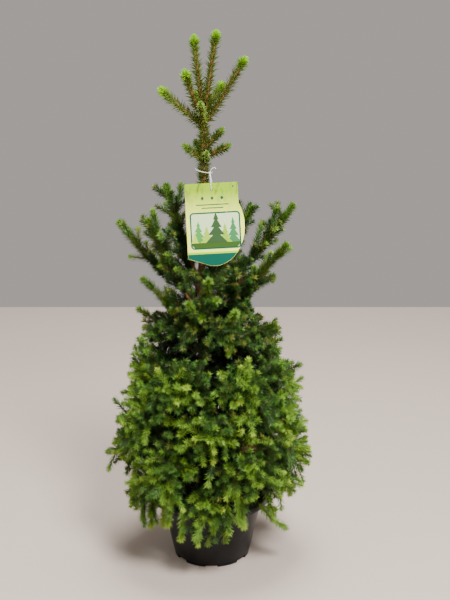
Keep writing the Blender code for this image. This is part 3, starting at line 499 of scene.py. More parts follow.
# Limbs
# The plant's branching. Whorls of limbs leave the trunk, bend and run out to the tips that give the
# crown its outline. Lower ones are hidden in foliage, and the crown's nine boughs show bare at first.
# Low whorls list their tips' reaches. The waist lists azimuth, reach, height and the bend's share of
# the rise, and the crown azimuth, reach, height and the foot's height. Then come the main side shoots,
# as in the solids, and the twigs: their spacing, length, angle and pull outward.
WHORLS = {
    "skirt": {
        "foot": 0.186, "bend": 0.198, "tip": 0.142, "azimuth": 30,
        "tips": (0.160, 0.155, 0.165, 0.176, 0.158, 0.132), "shoots": 5, "longest": 0.080, "first": 0.58,
        "lift": -0.70, "flat": True, "spacing": 0.0050, "twig": 0.066, "angle": 54, "pull": 0.30,
    },
    "lower": {
        "foot": 0.236, "bend": 0.250, "tip": 0.214, "azimuth": 0,
        "tips": (0.190, 0.183, 0.182, 0.204, 0.182, 0.180), "shoots": 5, "longest": 0.076, "first": 0.30,
        "lift": -0.10, "flat": False, "spacing": 0.0050, "twig": 0.062, "angle": 52, "pull": 0.30,
    },
    "middle": {
        "foot": 0.290, "bend": 0.302, "tip": 0.312, "azimuth": 30,
        "tips": (0.195, 0.180, 0.192, 0.190, 0.178, 0.190), "shoots": 4, "longest": 0.076, "first": 0.36,
        "lift": 0.10, "flat": False, "spacing": 0.0050, "twig": 0.062, "angle": 50, "pull": 0.30,
    },
    "upper": {
        "foot": 0.346, "bend": 0.358, "tip": 0.395, "azimuth": 0,
        "tips": (0.170, 0.162, 0.158, 0.150, 0.160, 0.160), "shoots": 4, "longest": 0.070, "first": 0.36,
        "lift": 0.20, "flat": False, "spacing": 0.0050, "twig": 0.058, "angle": 48, "pull": 0.25,
    },
    "waist": {
        "foot": 0.405, "bend_out": 0.46,
        "tips": ((0, 0.117, 0.572, 0.85), (60, 0.112, 0.545, 0.52), (118, 0.112, 0.540, 0.52),
                 (165, 0.145, 0.496, 0.52), (196, 0.131, 0.575, 0.60), (248, 0.107, 0.545, 0.52),
                 (295, 0.108, 0.528, 0.52), (338, 0.128, 0.492, 0.45)),
        "shoots": 0, "lift": 0.20, "spacing": 0.0060, "twig": 0.042, "angle": 44, "pull": 0.15,
    },
    "crown": {
        "bend": 0.40, "bend_out": 0.55,
        "tips": ((0, 0.152, 0.708, 0.512), (33, 0.092, 0.694, 0.545), (82, 0.130, 0.665, 0.500),
                 (128, 0.125, 0.690, 0.530), (154, 0.094, 0.738, 0.556), (180, 0.170, 0.676, 0.520),
                 (205, 0.125, 0.690, 0.495), (268, 0.098, 0.588, 0.490), (340, 0.147, 0.644, 0.490)),
        "shoots": 5, "longest": 0.057, "first": 0.26, "lift": 0.25, "flat": False,
        "spacing": 0.0085, "twig": 0.030, "angle": 36, "pull": 0.1,
    },
}
WHORL_STEP = 60
WHORL_BEND_OUT = 0.5
STAGGER = 0.010
PATH_STEPS = 12
LIMB_FOOT_RADIUS = 0.0040
LIMB_TIP_RADIUS = 0.0010
LIMB_SIDES = 8
LIMB_RING_STEP = 0.0030
LIMB_RELIEF = 0.00025


def place_at(azimuth, reach, height):
    """A point by its azimuth in degrees, 0 to the right and 270 in front, and its reach from the axis."""
    angle = math.radians(azimuth)
    return Vector((reach * math.cos(angle), reach * math.sin(angle), height))


def limb_path(foot, bend, tip):
    """Points on a smooth curve from the foot towards the bend and on to the tip."""
    return [foot * (1 - share) * (1 - share) + bend * 2 * share * (1 - share) + tip * share * share
            for share in shares(PATH_STEPS)]


def path_length(points):
    """Length of a line of points."""
    return sum((b - a).length for a, b in zip(points, points[1:]))


def along_path(points, share):
    """Point and direction at a share of a path's length."""
    left = share * path_length(points)
    for number, (a, b) in enumerate(zip(points, points[1:])):
        length = (b - a).length
        if left <= length or number == len(points) - 2:
            return a + (b - a) * (left / length), (b - a).normalized()
        left -= length


def tapered_bark(path, foot, tip, ring_step, sides, relief):
    """The bark of one limb, which tapers evenly from its foot to its tip."""
    rows = shares(round(path_length(path) / ring_step))
    return bark_mesh("limb", [along_path(path, share)[0] for share in rows],
                     [foot + (tip - foot) * share for share in rows], sides, relief)


def joined_mesh(name, meshes):
    """One mesh of several, which lie where they are."""
    bm = bmesh.new()
    for mesh in meshes:
        bm.from_mesh(mesh)
        bpy.data.meshes.remove(mesh)
    return closed_mesh(name, bm)


limbs = {}
for whorl, sizes in WHORLS.items():
    for number, tip in enumerate(sizes["tips"]):
        if whorl == "waist":
            azimuth, reach, height, rise = tip
            foot = trunk_axis(sizes["foot"] + STAGGER * (number % 3))
            bend = place_at(azimuth, reach * sizes["bend_out"], foot.z + (height - foot.z) * rise)
        elif whorl == "crown":
            azimuth, reach, height, foot_height = tip
            foot = trunk_axis(foot_height)
            bend = foot.lerp(place_at(azimuth, reach, foot_height), sizes["bend_out"])
            bend.z = foot_height + (height - foot_height) * sizes["bend"]
        else:
            azimuth, reach, height = sizes["azimuth"] + WHORL_STEP * number, tip, sizes["tip"]
            foot = trunk_axis(sizes["foot"] + STAGGER * (number % 2))
            bend = place_at(azimuth, reach * WHORL_BEND_OUT, sizes["bend"] + STAGGER * (number % 2))
        limbs[f"{whorl}_foliage_{number + 1}"] = limb_path(foot, bend, place_at(azimuth, reach, height))
limb_mesh = joined_mesh("limb_bark", [
    tapered_bark(path, LIMB_FOOT_RADIUS, LIMB_TIP_RADIUS, LIMB_RING_STEP, LIMB_SIDES, LIMB_RELIEF)
    for path in limbs.values()])
limb_mesh.materials.append(bark)
boughs = [f"bough_{number + 1}" for number in range(len(WHORLS["crown"]["tips"]))]
place_piece("limb_bark", limb_mesh, "bark", *boughs)


# Space
# Each limb's foliage keeps near to its own space: nearer to its own limb than to any other, off the
# pot and the tag, and inside the crown's outline.
OUTLINE_HEIGHTS = (0.070, 0.100, 0.150, 0.200, 0.300, 0.360, 0.420, 0.480, 0.505, 0.545, 0.600, 0.700, 0.760)
OUTLINE_RADII = (0.135, 0.150, 0.178, 0.196, 0.190, 0.172, 0.150, 0.132, 0.088, 0.086, 0.110, 0.150, 0.110)
TAG_HOLE_PLACE = Vector((0.0016, -0.0262, 0.7438))
TAG_TILT = math.radians(13.1)
TAG_ROLL = math.radians(3.0)
TAG_THICKNESS = 0.0006
TAG_LEFT = -0.0495
TAG_TOP = 0.0123
TAG_ROUND_MIDDLE = -0.066
TAG_ROUND_WIDTH = 0.0575
TAG_ROUND_HEIGHT = 0.074
TAG_MATRIX = (Matrix.Translation(TAG_HOLE_PLACE) @ Matrix.Rotation(-TAG_TILT, 4, "X")
              @ Matrix.Rotation(-TAG_ROLL, 4, "Y"))
TAG_INVERSE = TAG_MATRIX.inverted()
SLEEVE_FOOT = 0.690
SLEEVE_REACH = 0.0146

trunk_line = [trunk_axis(height) for height in TRUNK_HEIGHTS]
segments = [(a, b, name, 0.0) for name, path in limbs.items() for a, b in zip(path, path[1:])]
segments += [(a, b, "trunk", width) for a, b, width in zip(trunk_line, trunk_line[1:], TRUNK_RADII)]
segments.append((trunk_axis(SLEEVE_FOOT), trunk_axis(FORK_HEIGHT), "sleeve", SLEEVE_REACH))
limb_starts, limb_ends, limb_owners, limb_widths = (numpy.array(column) for column in zip(*segments))
limb_spans = limb_ends - limb_starts
limb_squares = numpy.maximum((limb_spans ** 2).sum(axis=1), 1e-12)


def pot_room(point):
    """Distance from a point to the pot's outside, or to the soil inside it."""
    reach = math.hypot(point[0], point[1])
    foot = Vector((POT_FOOT_RADIUS + POT_BAND_STEP, 0.0))
    wall = (Vector((POT_SHOULDER_RADIUS, POT_HEIGHT - POT_LIP_DEPTH)) - foot).normalized()
    beyond = Vector((reach, point[2])) - foot
    above_lip = point[2] - POT_HEIGHT
    to_lip = max(reach - POT_LIP_RADIUS, above_lip, -POT_LIP_DEPTH - above_lip,
                 POT_SHOULDER_RADIUS - POT_WALL - reach)
    if reach < POT_SHOULDER_RADIUS:
        return min(to_lip, point[2] - SOIL_CROWN_HEIGHT)
    return min(to_lip, max(beyond.x * wall.y - beyond.y * wall.x, above_lip))


def tag_room(point):
    """Distance from a point to the box that holds the tag."""
    place = TAG_INVERSE @ Vector(point)
    lowest = TAG_ROUND_MIDDLE - TAG_ROUND_HEIGHT
    return math.hypot(max(TAG_LEFT - place.x, place.x - TAG_ROUND_WIDTH, 0.0),
                      max(abs(place.y) - TAG_THICKNESS / 2, 0.0),
                      max(lowest - place.z, place.z - TAG_TOP, 0.0))


def own_room(owner, point):
    """How far a point is inside its own limb's space, how far from the trunk, and how far from its limb."""
    away = numpy.array(point) - limb_starts
    share = numpy.clip((away * limb_spans).sum(axis=1) / limb_squares, 0.0, 1.0)
    distances = numpy.linalg.norm(away - limb_spans * share[:, None], axis=1)
    stems = limb_widths == 0.0
    own = distances[limb_owners == owner].min()
    others = distances[(limb_owners != owner) & stems].min()
    return (others - own) / 2, (distances - limb_widths)[~stems].min(), own


def exposure(point):
    """How far out a point is in the crown: 0 at the axis and 1 at the outline."""
    return math.hypot(point.x, point.y) / float(numpy.interp(point.z, OUTLINE_HEIGHTS, OUTLINE_RADII))


# Branching
# Norway spruce branches all round on strong shoots: side shoots leave at about 50 degrees, longest low
# down, and carry twiglets that grow wherever a tip has room. Low ones hang over the pot's lip.
SHOOT_ANGLE = math.radians(50)
GOLDEN_DEGREES = 137.5
GOLDEN_TURN = math.radians(GOLDEN_DEGREES)
LAST_SHOOT = 0.92
FOOT_LENGTH = 1.12
TIP_SHORTENING = 0.5
SHORTEST_SHOOT = 0.022
SHOOT_TRIES = 6
SHOOT_SHRINK = 0.88
SHOOT_TURN = 0.25
SHOOT_SPIKE = 0.0130
SPIKE_TIP_FROM = 0.9
SPIKE_TIP_SHARE = 0.75
SPIKE_GAP = 0.001
FIT_STEPS = 10
TWIGS_FROM = 0.14
TWIGS_TO = 0.98
TWIG_FOOT_LENGTH = 1.15
TWIG_SHRINK = 0.86
TWIG_TURN = 1.1
TWIG_LIFT_SHARE = 0.5
TWIGLETS_FROM = 0.2
LAST_TWIGLETS_FROM = 0.25
TWIGLET_STEP = 0.0065
TWIGLET_ANGLE = math.radians(42)
TWIGLET_LENGTH = 0.044
LAST_TWIGLET_SHARE = 0.8
CROWN_TWIGLET_FROM = 0.034
CROWN_TWIGLET_SHARE = 0.60
TRUNK_SHOOT_PULL = 0.4
TWIG_ROOM = -0.006
TRUNK_ROOM = 0.002
TAG_MARGIN = 0.002
LIMB_NEAR = 0.011
NEEDLE_REACH = 0.007
TIP_GAP = 0.0148
INNER_TIP_GAP = 0.0130
CROWN_TIP_GAP = 0.0105
WAIST_TIP_GAP = 0.0124
DENSE_WAIST_FOOT = 0.44
WAIST_FOOT = 0.485
CROWN_FOOT = 0.56
INNER_SHARE = 0.62
TRUNK_SHOOTS = 220
TRUNK_SHOOT_LENGTH = 0.075
TRUNK_SHOOTS_FROM = 0.150
TRUNK_SHOOTS_TO = 0.600
TRUNK_SHOOT_RISE = 0.012
TRUNK_SHOOT_SCATTER = (0.7, 1.2)
TRUNK_SHOOT_BARE = 0.3
TRUNK_TWIGLETS_FROM = 0.4
TRUNK_TWIGLET_LIFT = 0.1
# Gaps in the foliage seen from in front: a point, the direction towards the viewer, the gap's radius
# and how far back it goes. They show the trunk, sky beside the waist, the lip and notches in the outline.
OPENINGS = (
    ((-0.020, 0.0, 0.451), (0.022, -1.0, 0.316), 0.011, -0.012),
    ((-0.021, 0.0, 0.472), (0.022, -1.0, 0.306), 0.010, -0.012),
    ((-0.045, -0.030, 0.534), (0.034, -1.0, 0.281), 0.013, -0.012),
    ((0.028, -0.030, 0.509), (-0.001, -1.0, 0.293), 0.015, -0.012),
    ((0.089, -0.020, 0.5276), (-0.030, -1.0, 0.283), 0.019, 0.200),
    ((0.108, -0.030, 0.132), (-0.039, -1.0, 0.474), 0.020, -0.012),
    ((0.094, -0.050, 0.1067), (-0.032, -1.0, 0.491), 0.018, -0.012),
    ((-0.187, 0.0, 0.170), (0.101, -1.0, 0.449), 0.018, 0.200),
    ((-0.177, 0.0, 0.091), (0.096, -1.0, 0.487), 0.016, 0.200),
    ((-0.170, 0.0, 0.364), (0.093, -1.0, 0.358), 0.015, 0.200),
    ((-0.200, 0.0, 0.264), (0.107, -1.0, 0.405), 0.017, 0.200),
    ((-0.205, 0.0, 0.226), (0.110, -1.0, 0.423), 0.013, 0.200),
    ((0.152, 0.0, 0.425), (-0.059, -1.0, 0.328), 0.016, 0.200),
    ((0.153, 0.0, 0.115), (-0.060, -1.0, 0.475), 0.015, 0.200),
)
LIP_REGION_TOP = 0.25
# The shares of a shoot that are tested on every shoot, on those by the lip, and for room (with the part
# of the gap that they need), and the shares that are marked as taken
TESTED_SHARES = (0.4, 0.7, 1.0)
LIP_TESTED_SHARES = (0.2, 0.4, 0.6, 0.8, 1.0)
ROOM_SHARES = ((0.6, 0.7), (1.0, 1.0))
TAKEN_SHARES = (0.5, 0.75, 1.0)
# Tips of the shoots that hang over the lip: azimuth, reach and height
HANGING_TIPS = (
    (219.0, 0.150, 0.099), (235.7, 0.146, 0.114), (246.9, 0.146, 0.092), (257.3, 0.146, 0.121),
    (268.3, 0.148, 0.118), (282.9, 0.148, 0.110), (291.7, 0.148, 0.125), (206.0, 0.150, 0.100),
    (226.0, 0.134, 0.104), (212.0, 0.138, 0.112), (204.0, 0.166, 0.140), (10.0, 0.160, 0.110),
    (38.0, 0.150, 0.102), (66.0, 0.148, 0.118), (92.0, 0.150, 0.095), (118.0, 0.146, 0.112),
    (146.0, 0.150, 0.104), (172.0, 0.160, 0.112), (186.0, 0.162, 0.128),
)
HANGING_RISE = 0.062
HANGING_INWARD = 0.008
HANGING_ROW = 44
HANGING_REACHES = (0.126, 0.150)
HANGING_HEIGHTS = (0.108, 0.150)
LIP_SHOWS = (306, 354)
SIDELONG = ((0.045, -0.050, 0.165), (0.088, -0.069, 0.140), (0.144, -0.070, 0.083))
SIDELONG_FORK = ((0.100, -0.069, 0.128), (0.1235, -0.058, 0.117))
# Forks of the crown's shoots: the limb, the share of its length and the fork's tip
FORKS = (
    ("crown_foliage_5", 0.70, (-0.0568, 0.035, 0.741)), ("crown_foliage_7", 0.72, (-0.1052, -0.050, 0.7073)),
    ("crown_foliage_1", 0.70, (0.1235, 0.000, 0.7044)), ("crown_foliage_1", 0.50, (0.0972, 0.040, 0.6673)),
    ("crown_foliage_8", 0.50, (0.012, -0.095, 0.5512)), ("crown_foliage_8", 0.35, (-0.0156, -0.090, 0.515)),
)

sprays = []
taken = {}


def shoot_fits(owner, start, end):
    """Whether a main side shoot keeps wholly to its own space, as in the solids."""
    for step in range(2, FIT_STEPS + 1):
        share = step / FIT_STEPS
        point = start.lerp(end, share)
        between, trunk, own = own_room(owner, point)
        room = min(between, trunk, pot_room(point), tag_room(point)) - SPIKE_GAP
        if room < SHOOT_SPIKE * (1.0 if share < SPIKE_TIP_FROM else SPIKE_TIP_SHARE):
            return False
    return True


def cell_of(point):
    """The cube of space that a point is in, as wide as the gap between tips."""
    return tuple(math.floor(value / TIP_GAP) for value in point)


def tip_has_room(start, end):
    """Whether a shoot's outer half is clear of the shoots that have grown already."""
    gap = TIP_GAP if exposure(end) > INNER_SHARE else INNER_TIP_GAP
    if end.z > DENSE_WAIST_FOOT:
        gap = CROWN_TIP_GAP if end.z > CROWN_FOOT else WAIST_TIP_GAP
    for share, part in ROOM_SHARES:
        point = start.lerp(end, share)
        x, y, z = cell_of(point)
        for cell in ((x + i, y + j, z + k) for i in (-1, 0, 1) for j in (-1, 0, 1) for k in (-1, 0, 1)):
            if any((other - point).length < gap * part for other in taken.get(cell, ())):
                return False
    return True


def in_opening(point):
    """Whether a point is in one of the gaps in the foliage."""
    for place, aim, radius, back in OPENINGS:
        away = point - Vector(place)
        along = Vector(aim).normalized()
        if point.y < back and (away - along * away.dot(along)).length < radius:
            return True
    return False


def twig_fits(owner, start, end):
    """Whether a fine twig stays about its own space, off pot, tag and trunk, and in the outline."""
    seen_shares = LIP_TESTED_SHARES if end.z < LIP_REGION_TOP else TESTED_SHARES
    if any(in_opening(start.lerp(end, share)) for share in seen_shares):
        return False
    for share in TESTED_SHARES:
        point = start.lerp(end, share)
        in_box = all(low < value < high for value, low, high in zip(point, *cad_box))
        if point.z < OUTLINE_HEIGHTS[0] or not in_box:
            return False
        if pot_room(point) < NEEDLE_REACH or tag_room(point) < NEEDLE_REACH + TAG_MARGIN:
            return False
        if owner:
            between, trunk, own = own_room(owner, point)
            if between < TWIG_ROOM or trunk < TRUNK_ROOM:
                return False
        if exposure(point) > 1 and not (owner and point.z > WAIST_FOOT and own < LIMB_NEAR):
            return False
    return tip_has_room(start, end)


def add_spray(start, end, depth):
    """Let a shoot grow, and mark the room that it takes."""
    sprays.append((Vector(start), Vector(end), depth))
    for share in TAKEN_SHARES:
        point = Vector(start).lerp(Vector(end), share)
        taken.setdefault(cell_of(point), []).append(point)


def main_shoots(owner, path, sizes):
    """The solids' side shoots: a golden-angle spiral up the limb, or by turns to its two sides."""
    chance = random.Random(owner)
    grown = []
    for number in range(sizes["shoots"]):
        first = sizes["first"]
        share = first + (LAST_SHOOT - first) * (number + 0.5) / sizes["shoots"]
        start, along = along_path(path, share)
        side, up = frame_across(along)
        roll = number * (math.pi if sizes["flat"] else GOLDEN_TURN) + chance.uniform(-0.5, 0.5)
        length = sizes["longest"] * (FOOT_LENGTH - TIP_SHORTENING * share) * chance.uniform(0.9, 1.1)
        for attempt in range(SHOOT_TRIES):
            aim = around(along, around(side, up, roll), SHOOT_ANGLE)
            aim.z += sizes["lift"] * share
            end = start + aim.normalized() * length
            if length > SHORTEST_SHOOT and shoot_fits(owner, start, end):
                grown.append((start, end))
                break
            length *= SHOOT_SHRINK
            roll += SHOOT_TURN
    return grown


def outward_from(point):
    """Level direction from the trunk to a point."""
    away = point - trunk_axis(point.z)
    away.z = 0.0
    return away.normalized()


def grow_along(chance, owner, points, first, step, length, angle, lift, depth):
    """Shoots from a limb or shoot, in a golden-angle spiral, each where it finds room."""
    pull = WHORLS[owner.split("_")[0]]["pull"] if owner else TRUNK_SHOOT_PULL
    count = max(1, round(path_length(points) * (TWIGS_TO - first) / step))
    grown = []
    for number in range(count):
        share = first + (TWIGS_TO - first) * (number + chance.uniform(0.1, 0.9)) / count
        start, along = along_path(points, share)
        side, up = frame_across(along)
        roll = number * GOLDEN_TURN + chance.uniform(-0.4, 0.4)
        size = length * (TWIG_FOOT_LENGTH - TIP_SHORTENING * share) * chance.uniform(0.85, 1.15)
        for attempt in range(SHOOT_TRIES):
            aim = around(along, around(side, up, roll), angle) + outward_from(start) * pull
            aim.z += lift
            end = start + aim.normalized() * size
            if size > SHORTEST_SHOOT and twig_fits(owner, start, end):
                add_spray(start, end, depth)
                grown.append((start, end))
                break
            size *= TWIG_SHRINK
            roll += TWIG_TURN
    return grown


first_shoots = {}
for limb_name, path in limbs.items():
    shoots = main_shoots(limb_name, path, WHORLS[limb_name.split("_")[0]])
    first_shoots[limb_name] = [shoot for shoot in shoots if not in_opening(shoot[1])]
    for start, end in first_shoots[limb_name]:
        add_spray(start, end, 1)
    add_spray(path[-3], path[-1], 0)
for limb_name, share, end in FORKS:
    add_spray(along_path(limbs[limb_name], share)[0], end, "fork")
add_spray(SIDELONG[0], SIDELONG[1], 1)
add_spray(SIDELONG[1], SIDELONG[2], "hanging")
add_spray(*SIDELONG_FORK, "hanging")
skirts = [point for name, path in limbs.items() if name.startswith("skirt")
          for point in path[PATH_STEPS // 2:]]
chance = random.Random("hanging")
hanging = list(HANGING_TIPS)
for number in range(HANGING_ROW):
    azimuth = 360 * (number + chance.uniform(0.0, 0.6)) / HANGING_ROW
    if not LIP_SHOWS[0] < azimuth < LIP_SHOWS[1]:
        hanging.append((azimuth, chance.uniform(*HANGING_REACHES), chance.uniform(*HANGING_HEIGHTS)))
for hanging_tip in hanging:
    tip = place_at(*hanging_tip)
    over = tip + Vector((0.0, 0.0, HANGING_RISE)) - outward_from(tip) * HANGING_INWARD
    if tip_has_room(over, tip):
        add_spray(over, tip, "hanging")
        add_spray(min(skirts, key=lambda point: (point - over).length), over, 1)
for limb_name, path in limbs.items():
    sizes = WHORLS[limb_name.split("_")[0]]
    in_crown = limb_name.startswith("crown")
    lift = sizes["lift"] * TWIG_LIFT_SHARE
    chance = random.Random(limb_name + " twigs")
    shoots = grow_along(chance, limb_name, path, TWIGS_FROM, sizes["spacing"], sizes["twig"],
                        math.radians(sizes["angle"]), lift, 1)
    for shoot in shoots + first_shoots[limb_name]:
        if in_crown and (shoot[1] - shoot[0]).length < CROWN_TWIGLET_FROM:
            continue
        length = TWIGLET_LENGTH * (CROWN_TWIGLET_SHARE if in_crown else 1.0)
        twiglets = grow_along(chance, limb_name, shoot, TWIGLETS_FROM, TWIGLET_STEP, length, TWIGLET_ANGLE,
                              lift, 2)
        for twiglet in ([] if in_crown else twiglets):
            grow_along(chance, limb_name, twiglet, LAST_TWIGLETS_FROM, TWIGLET_STEP,
                       TWIGLET_LENGTH * LAST_TWIGLET_SHARE, TWIGLET_ANGLE, lift, 3)
chance = random.Random("trunk shoots")
for number in range(TRUNK_SHOOTS):
    start = trunk_axis(TRUNK_SHOOTS_FROM + (TRUNK_SHOOTS_TO - TRUNK_SHOOTS_FROM) * number / TRUNK_SHOOTS)
    reach = place_at(number * GOLDEN_DEGREES, TRUNK_SHOOT_LENGTH * chance.uniform(*TRUNK_SHOOT_SCATTER), 0.0)
    end = start + reach + Vector((0.0, 0.0, TRUNK_SHOOT_RISE))
    if twig_fits("", start.lerp(end, TRUNK_SHOOT_BARE), end):
        add_spray(start, end, 1)
        grow_along(chance, "", (start, end), TRUNK_TWIGLETS_FROM, TWIGLET_STEP, TWIGLET_LENGTH,
                   TWIGLET_ANGLE, TRUNK_TWIGLET_LIFT, 2)


# Twigs
# Spruce twigs: orange-brown in their first years and duller brown later. They are round, about 2 mm
# thick with the pegs that their needles stand on, and bow a little. Here they are a little coarser.
TWIG_FOOT_RADIUS = 0.0014
TWIG_TIP_RADIUS = 0.0008
TWIG_SIDES = 3
TWIG_STEPS = 3
TWIG_BOW = 0.08
TWIG_ROUGHNESS = 0.7
# The colour of each kind, dry to the eye, and the shoots that it is for. The old and young twigs are darker
# browns than in life, as painted shade
TWIG_KINDS = {
    "old": ("3a2a1a", (0, 1)), "young": ("54401c", (2, 3, "fork")), "pale": ("a8943a", ("hanging",)),
}


def tube_tree():
    """Closed tubes along a mesh's edges, as thick as the points' own number says."""
    tree, given = new_tree("twig_tubes", Sides="Int")
    curves = add_node(tree, "GeometryNodeMeshToCurve", {"Mesh": given["Geometry"]})
    thickness = add_node(tree, "GeometryNodeInputNamedAttribute", {"Name": "thickness"}, data_type="FLOAT")
    ring = add_node(tree, "GeometryNodeCurvePrimitiveCircle", {"Resolution": given["Sides"], "Radius": 1.0})
    return end_tree(tree, add_node(tree, "GeometryNodeCurveToMesh", {
        "Curve": curves, "Profile Curve": ring.outputs["Curve"], "Scale": thickness.outputs["Attribute"],
        "Fill Caps": True}), given)


def line_mesh(lines, **attributes):
    """A mesh of edges along the lines, with a number on each point for each named attribute."""
    edges = []
    first = 0
    for line in lines:
        edges += [(first + step, first + step + 1) for step in range(len(line) - 1)]
        first += len(line)
    mesh = bpy.data.meshes.new("lines")
    mesh.from_pydata([tuple(point) for line in lines for point in line], edges, [])
    for key, values in attributes.items():
        layer = mesh.attributes.new(key, "FLOAT", "POINT")
        layer.data.foreach_set("value", [value for line in values for value in line])
    return mesh


def twig_line(chance, start, end):
    """Points along a twig that bows to one side."""
    side, up = frame_across(end - start)
    towards = around(side, up, chance.uniform(0, 2 * math.pi))
    bow = towards * (end - start).length * chance.uniform(0, TWIG_BOW)
    return [start.lerp(end, share) + bow * 4 * share * (1 - share) for share in shares(TWIG_STEPS)]


chance = random.Random("twigs")
twig_lines = [twig_line(chance, start, end) for start, end, depth in sprays]
taper = [TWIG_FOOT_RADIUS + (TWIG_TIP_RADIUS - TWIG_FOOT_RADIUS) * share for share in shares(TWIG_STEPS)]
tubes = tube_tree()
for kind, (colour, depths) in TWIG_KINDS.items():
    lines = [line for line, spray in zip(twig_lines, sprays) if spray[2] in depths]
    twig_mesh = run_tree(tubes, line_mesh(lines, thickness=[taper] * len(lines)), Sides=TWIG_SIDES,
                         Material=new_material(f"{kind}_twig", colour, TWIG_ROUGHNESS)[0])
    twig_mesh.shade_smooth()
    place_piece(f"{kind}_twigs", twig_mesh, "bark")


# Needles
# Stiff four-sided needles, 8 to 12 mm long and 1 mm wide, set singly round the twig on small pegs and
# pointing forward. Old ones inside the crown are deep green, drawn darker still as painted shade, and those
# on hanging and low shoots lighter, as painted light. The newest at the tips are yellow-green.
# They are drawn longer, wider and fewer than real ones, as far as their count needs.
NEEDLE_DEPTH = 0.55
NEEDLE_WIDEST = 0.46
NEEDLE_LENGTH = 0.0122
HANGING_NEEDLE = 0.0130
INNER_NEEDLE = 0.0130
LIMB_NEEDLE = 0.0150
HIDDEN_LIMB_NEEDLE = 0.0120
BUD_LENGTH = 0.0045
BUD_SHARE = 0.45
DRY_SHARE = 0.004
SLEEVE_LAYERS = {"crown": 4, "waist": 2}
LIMB_TIP_LAYERS = 4
FRONT_BOUGH = "crown_foliage_8"
NEEDLE_ROUGHNESS = 0.5
NEEDLE_GLOSS = 0.28
NEEDLE_UNEVEN = 0.30
NEEDLE_SCATTER = (0.85, 1.15)
NEEDLE_SEED = 7
NEEDLES_A_PIECE = 48000
PIECE_MARGIN = 200
# The colour, the spacing along the twig and the width of each kind of needle. All are waxy, with a soft sheen
# Painted shade: the shaded kind is near black, for deep in the crown; old needles' green is darkened too
KINDS = {
    "shaded": ("0f1f06", 0.00105, 0.0027), "old": ("284518", 0.00047, 0.0013),
    "grown": ("446a24", 0.00047, 0.0013), "olive": ("606c26", 0.00047, 0.0013),
    "fresh": ("6a902c", 0.00047, 0.0013), "new": ("98b63c", 0.00047, 0.0013),
    "dry": ("8a6242", 0.00080, 0.0018), "bud": ("a8743c", 0.00070, 0.0030),
    "leader": ("566c20", 0.00040, 0.0024), "brush": ("84b400", 0.00040, 0.0018),
}
# The needles of one shoot: 0 for its body's tint or 1 for its tip's, from and to which share of it,
# the needle's length, its lean in degrees at both ends, and its size at the last end
SPRAY_STRETCHES = (
    (0, 0.10, 0.86, 1.0, 46, 43, 1.0), (1, 0.80, 1.0, 1.0, 45, 30, 0.80),
    (1, 0.88, 1.0, 0.86, 48, 20, 0.80), (1, 0.93, 1.0, 0.70, 44, 8, 0.85),
)
FULL_STRETCHES = ((0, 0.05, 0.88, 1.0, 46, 42, 1.0), (1, 0.80, 1.0, 1.0, 46, 38, 0.9)) + SPRAY_STRETCHES
# The needles of an outer limb, from low to high: from which share, later by how much with each layer, to
# which share and in how many steps, then the length's share, both leans and the last size
LIMB_STRETCHES = (
    (0.30, 0.015, 0.62, 8, 1.0, 54, 50, 1.0), (0.55, 0.01, 0.90, 8, 1.0, 50, 48, 1.0),
    (0.86, 0.01, 1.0, 4, 0.9, 50, 40, 0.85),
)
# The needles of a hidden limb: the kind, from and to which share, the steps, the length and both leans
HIDDEN_STRETCHES = (
    ("shaded", 0.20, 0.75, 10, LIMB_NEEDLE, 62, 58), ("old", 0.72, 0.98, 6, HIDDEN_LIMB_NEEDLE, 58, 52),
)
LIMB_TIP_FROM = 0.970
LIMB_TIP_STEP = 0.004
LIMB_TIP_LEANS = (66, 6)
SHADED_FROM = 0.10
SHADED_LEANS = (58, 30)
BUD_FROM = 0.965
BUD_LEANS = (12, 4, 1.0)
LENGTH_SCATTER = (0.92, 1.08)
# Tints of a shoot's body and tip, picked at random by where it grows, and in patches at the outline.
# Deep in the crown they are darker, as painted shade, and on hanging and low shoots lighter, as painted light
HANGING_PAINTED_LIGHT_TINTS = (("fresh", "new"), ("fresh", "new"), ("new", "new"), ("fresh", "fresh"))
INNER_PAINTED_SHADE_TINTS = (("old", "grown"), ("old", "old"), ("old", "old"), ("old", "olive"))
WAIST_TINTS = (("old", "old"), ("old", "grown"), ("old", "olive"), ("grown", "olive"), ("old", "grown"))
HIGH_TINTS = (
    ("olive", "fresh"), ("grown", "fresh"), ("old", "olive"), ("grown", "fresh"), ("grown", "olive"),
)
INNER_SHADE_TO = 0.80
DRY_TO = 0.9
EXPOSURE_SCATTER = 0.06
SHADED_TO = 0.66
SHADED_TOP = 0.52
WAIST_HEIGHTS = (0.455, 0.60)
HIGH_FROM = 0.47
PATCH_WIDTH = 0.042
PATCH_SPREAD = 0.22
# Painted light: below this height shoots are lifted towards lighter tints, by this much
LOW_SHOOTS = 0.19
LOW_PAINTED_LIGHT = 0.12
PATCHES = ((0.42, ("fresh", "new")), (0.13, ("fresh", "fresh")), (-0.08, ("grown", "fresh")),
           (-0.28, ("grown", "grown")), (-9.0, ("old", "grown")))

needled = {kind: [] for kind in KINDS}


def needle_mesh():
    """A keeled blade one unit long that points along +Z: four faces, pointed at both ends."""
    bm = bmesh.new()
    corners = [bm.verts.new(place) for place in (
        (0.0, 0.0, 0.0), (0.0, 0.0, 1.0),
        (-0.5, NEEDLE_DEPTH, NEEDLE_WIDEST), (0.5, NEEDLE_DEPTH, NEEDLE_WIDEST))]
    for face in ((0, 2, 1), (0, 1, 3), (0, 3, 2), (1, 2, 3)):
        bm.faces.new([corners[corner] for corner in face])
    return closed_mesh("needle", bm)


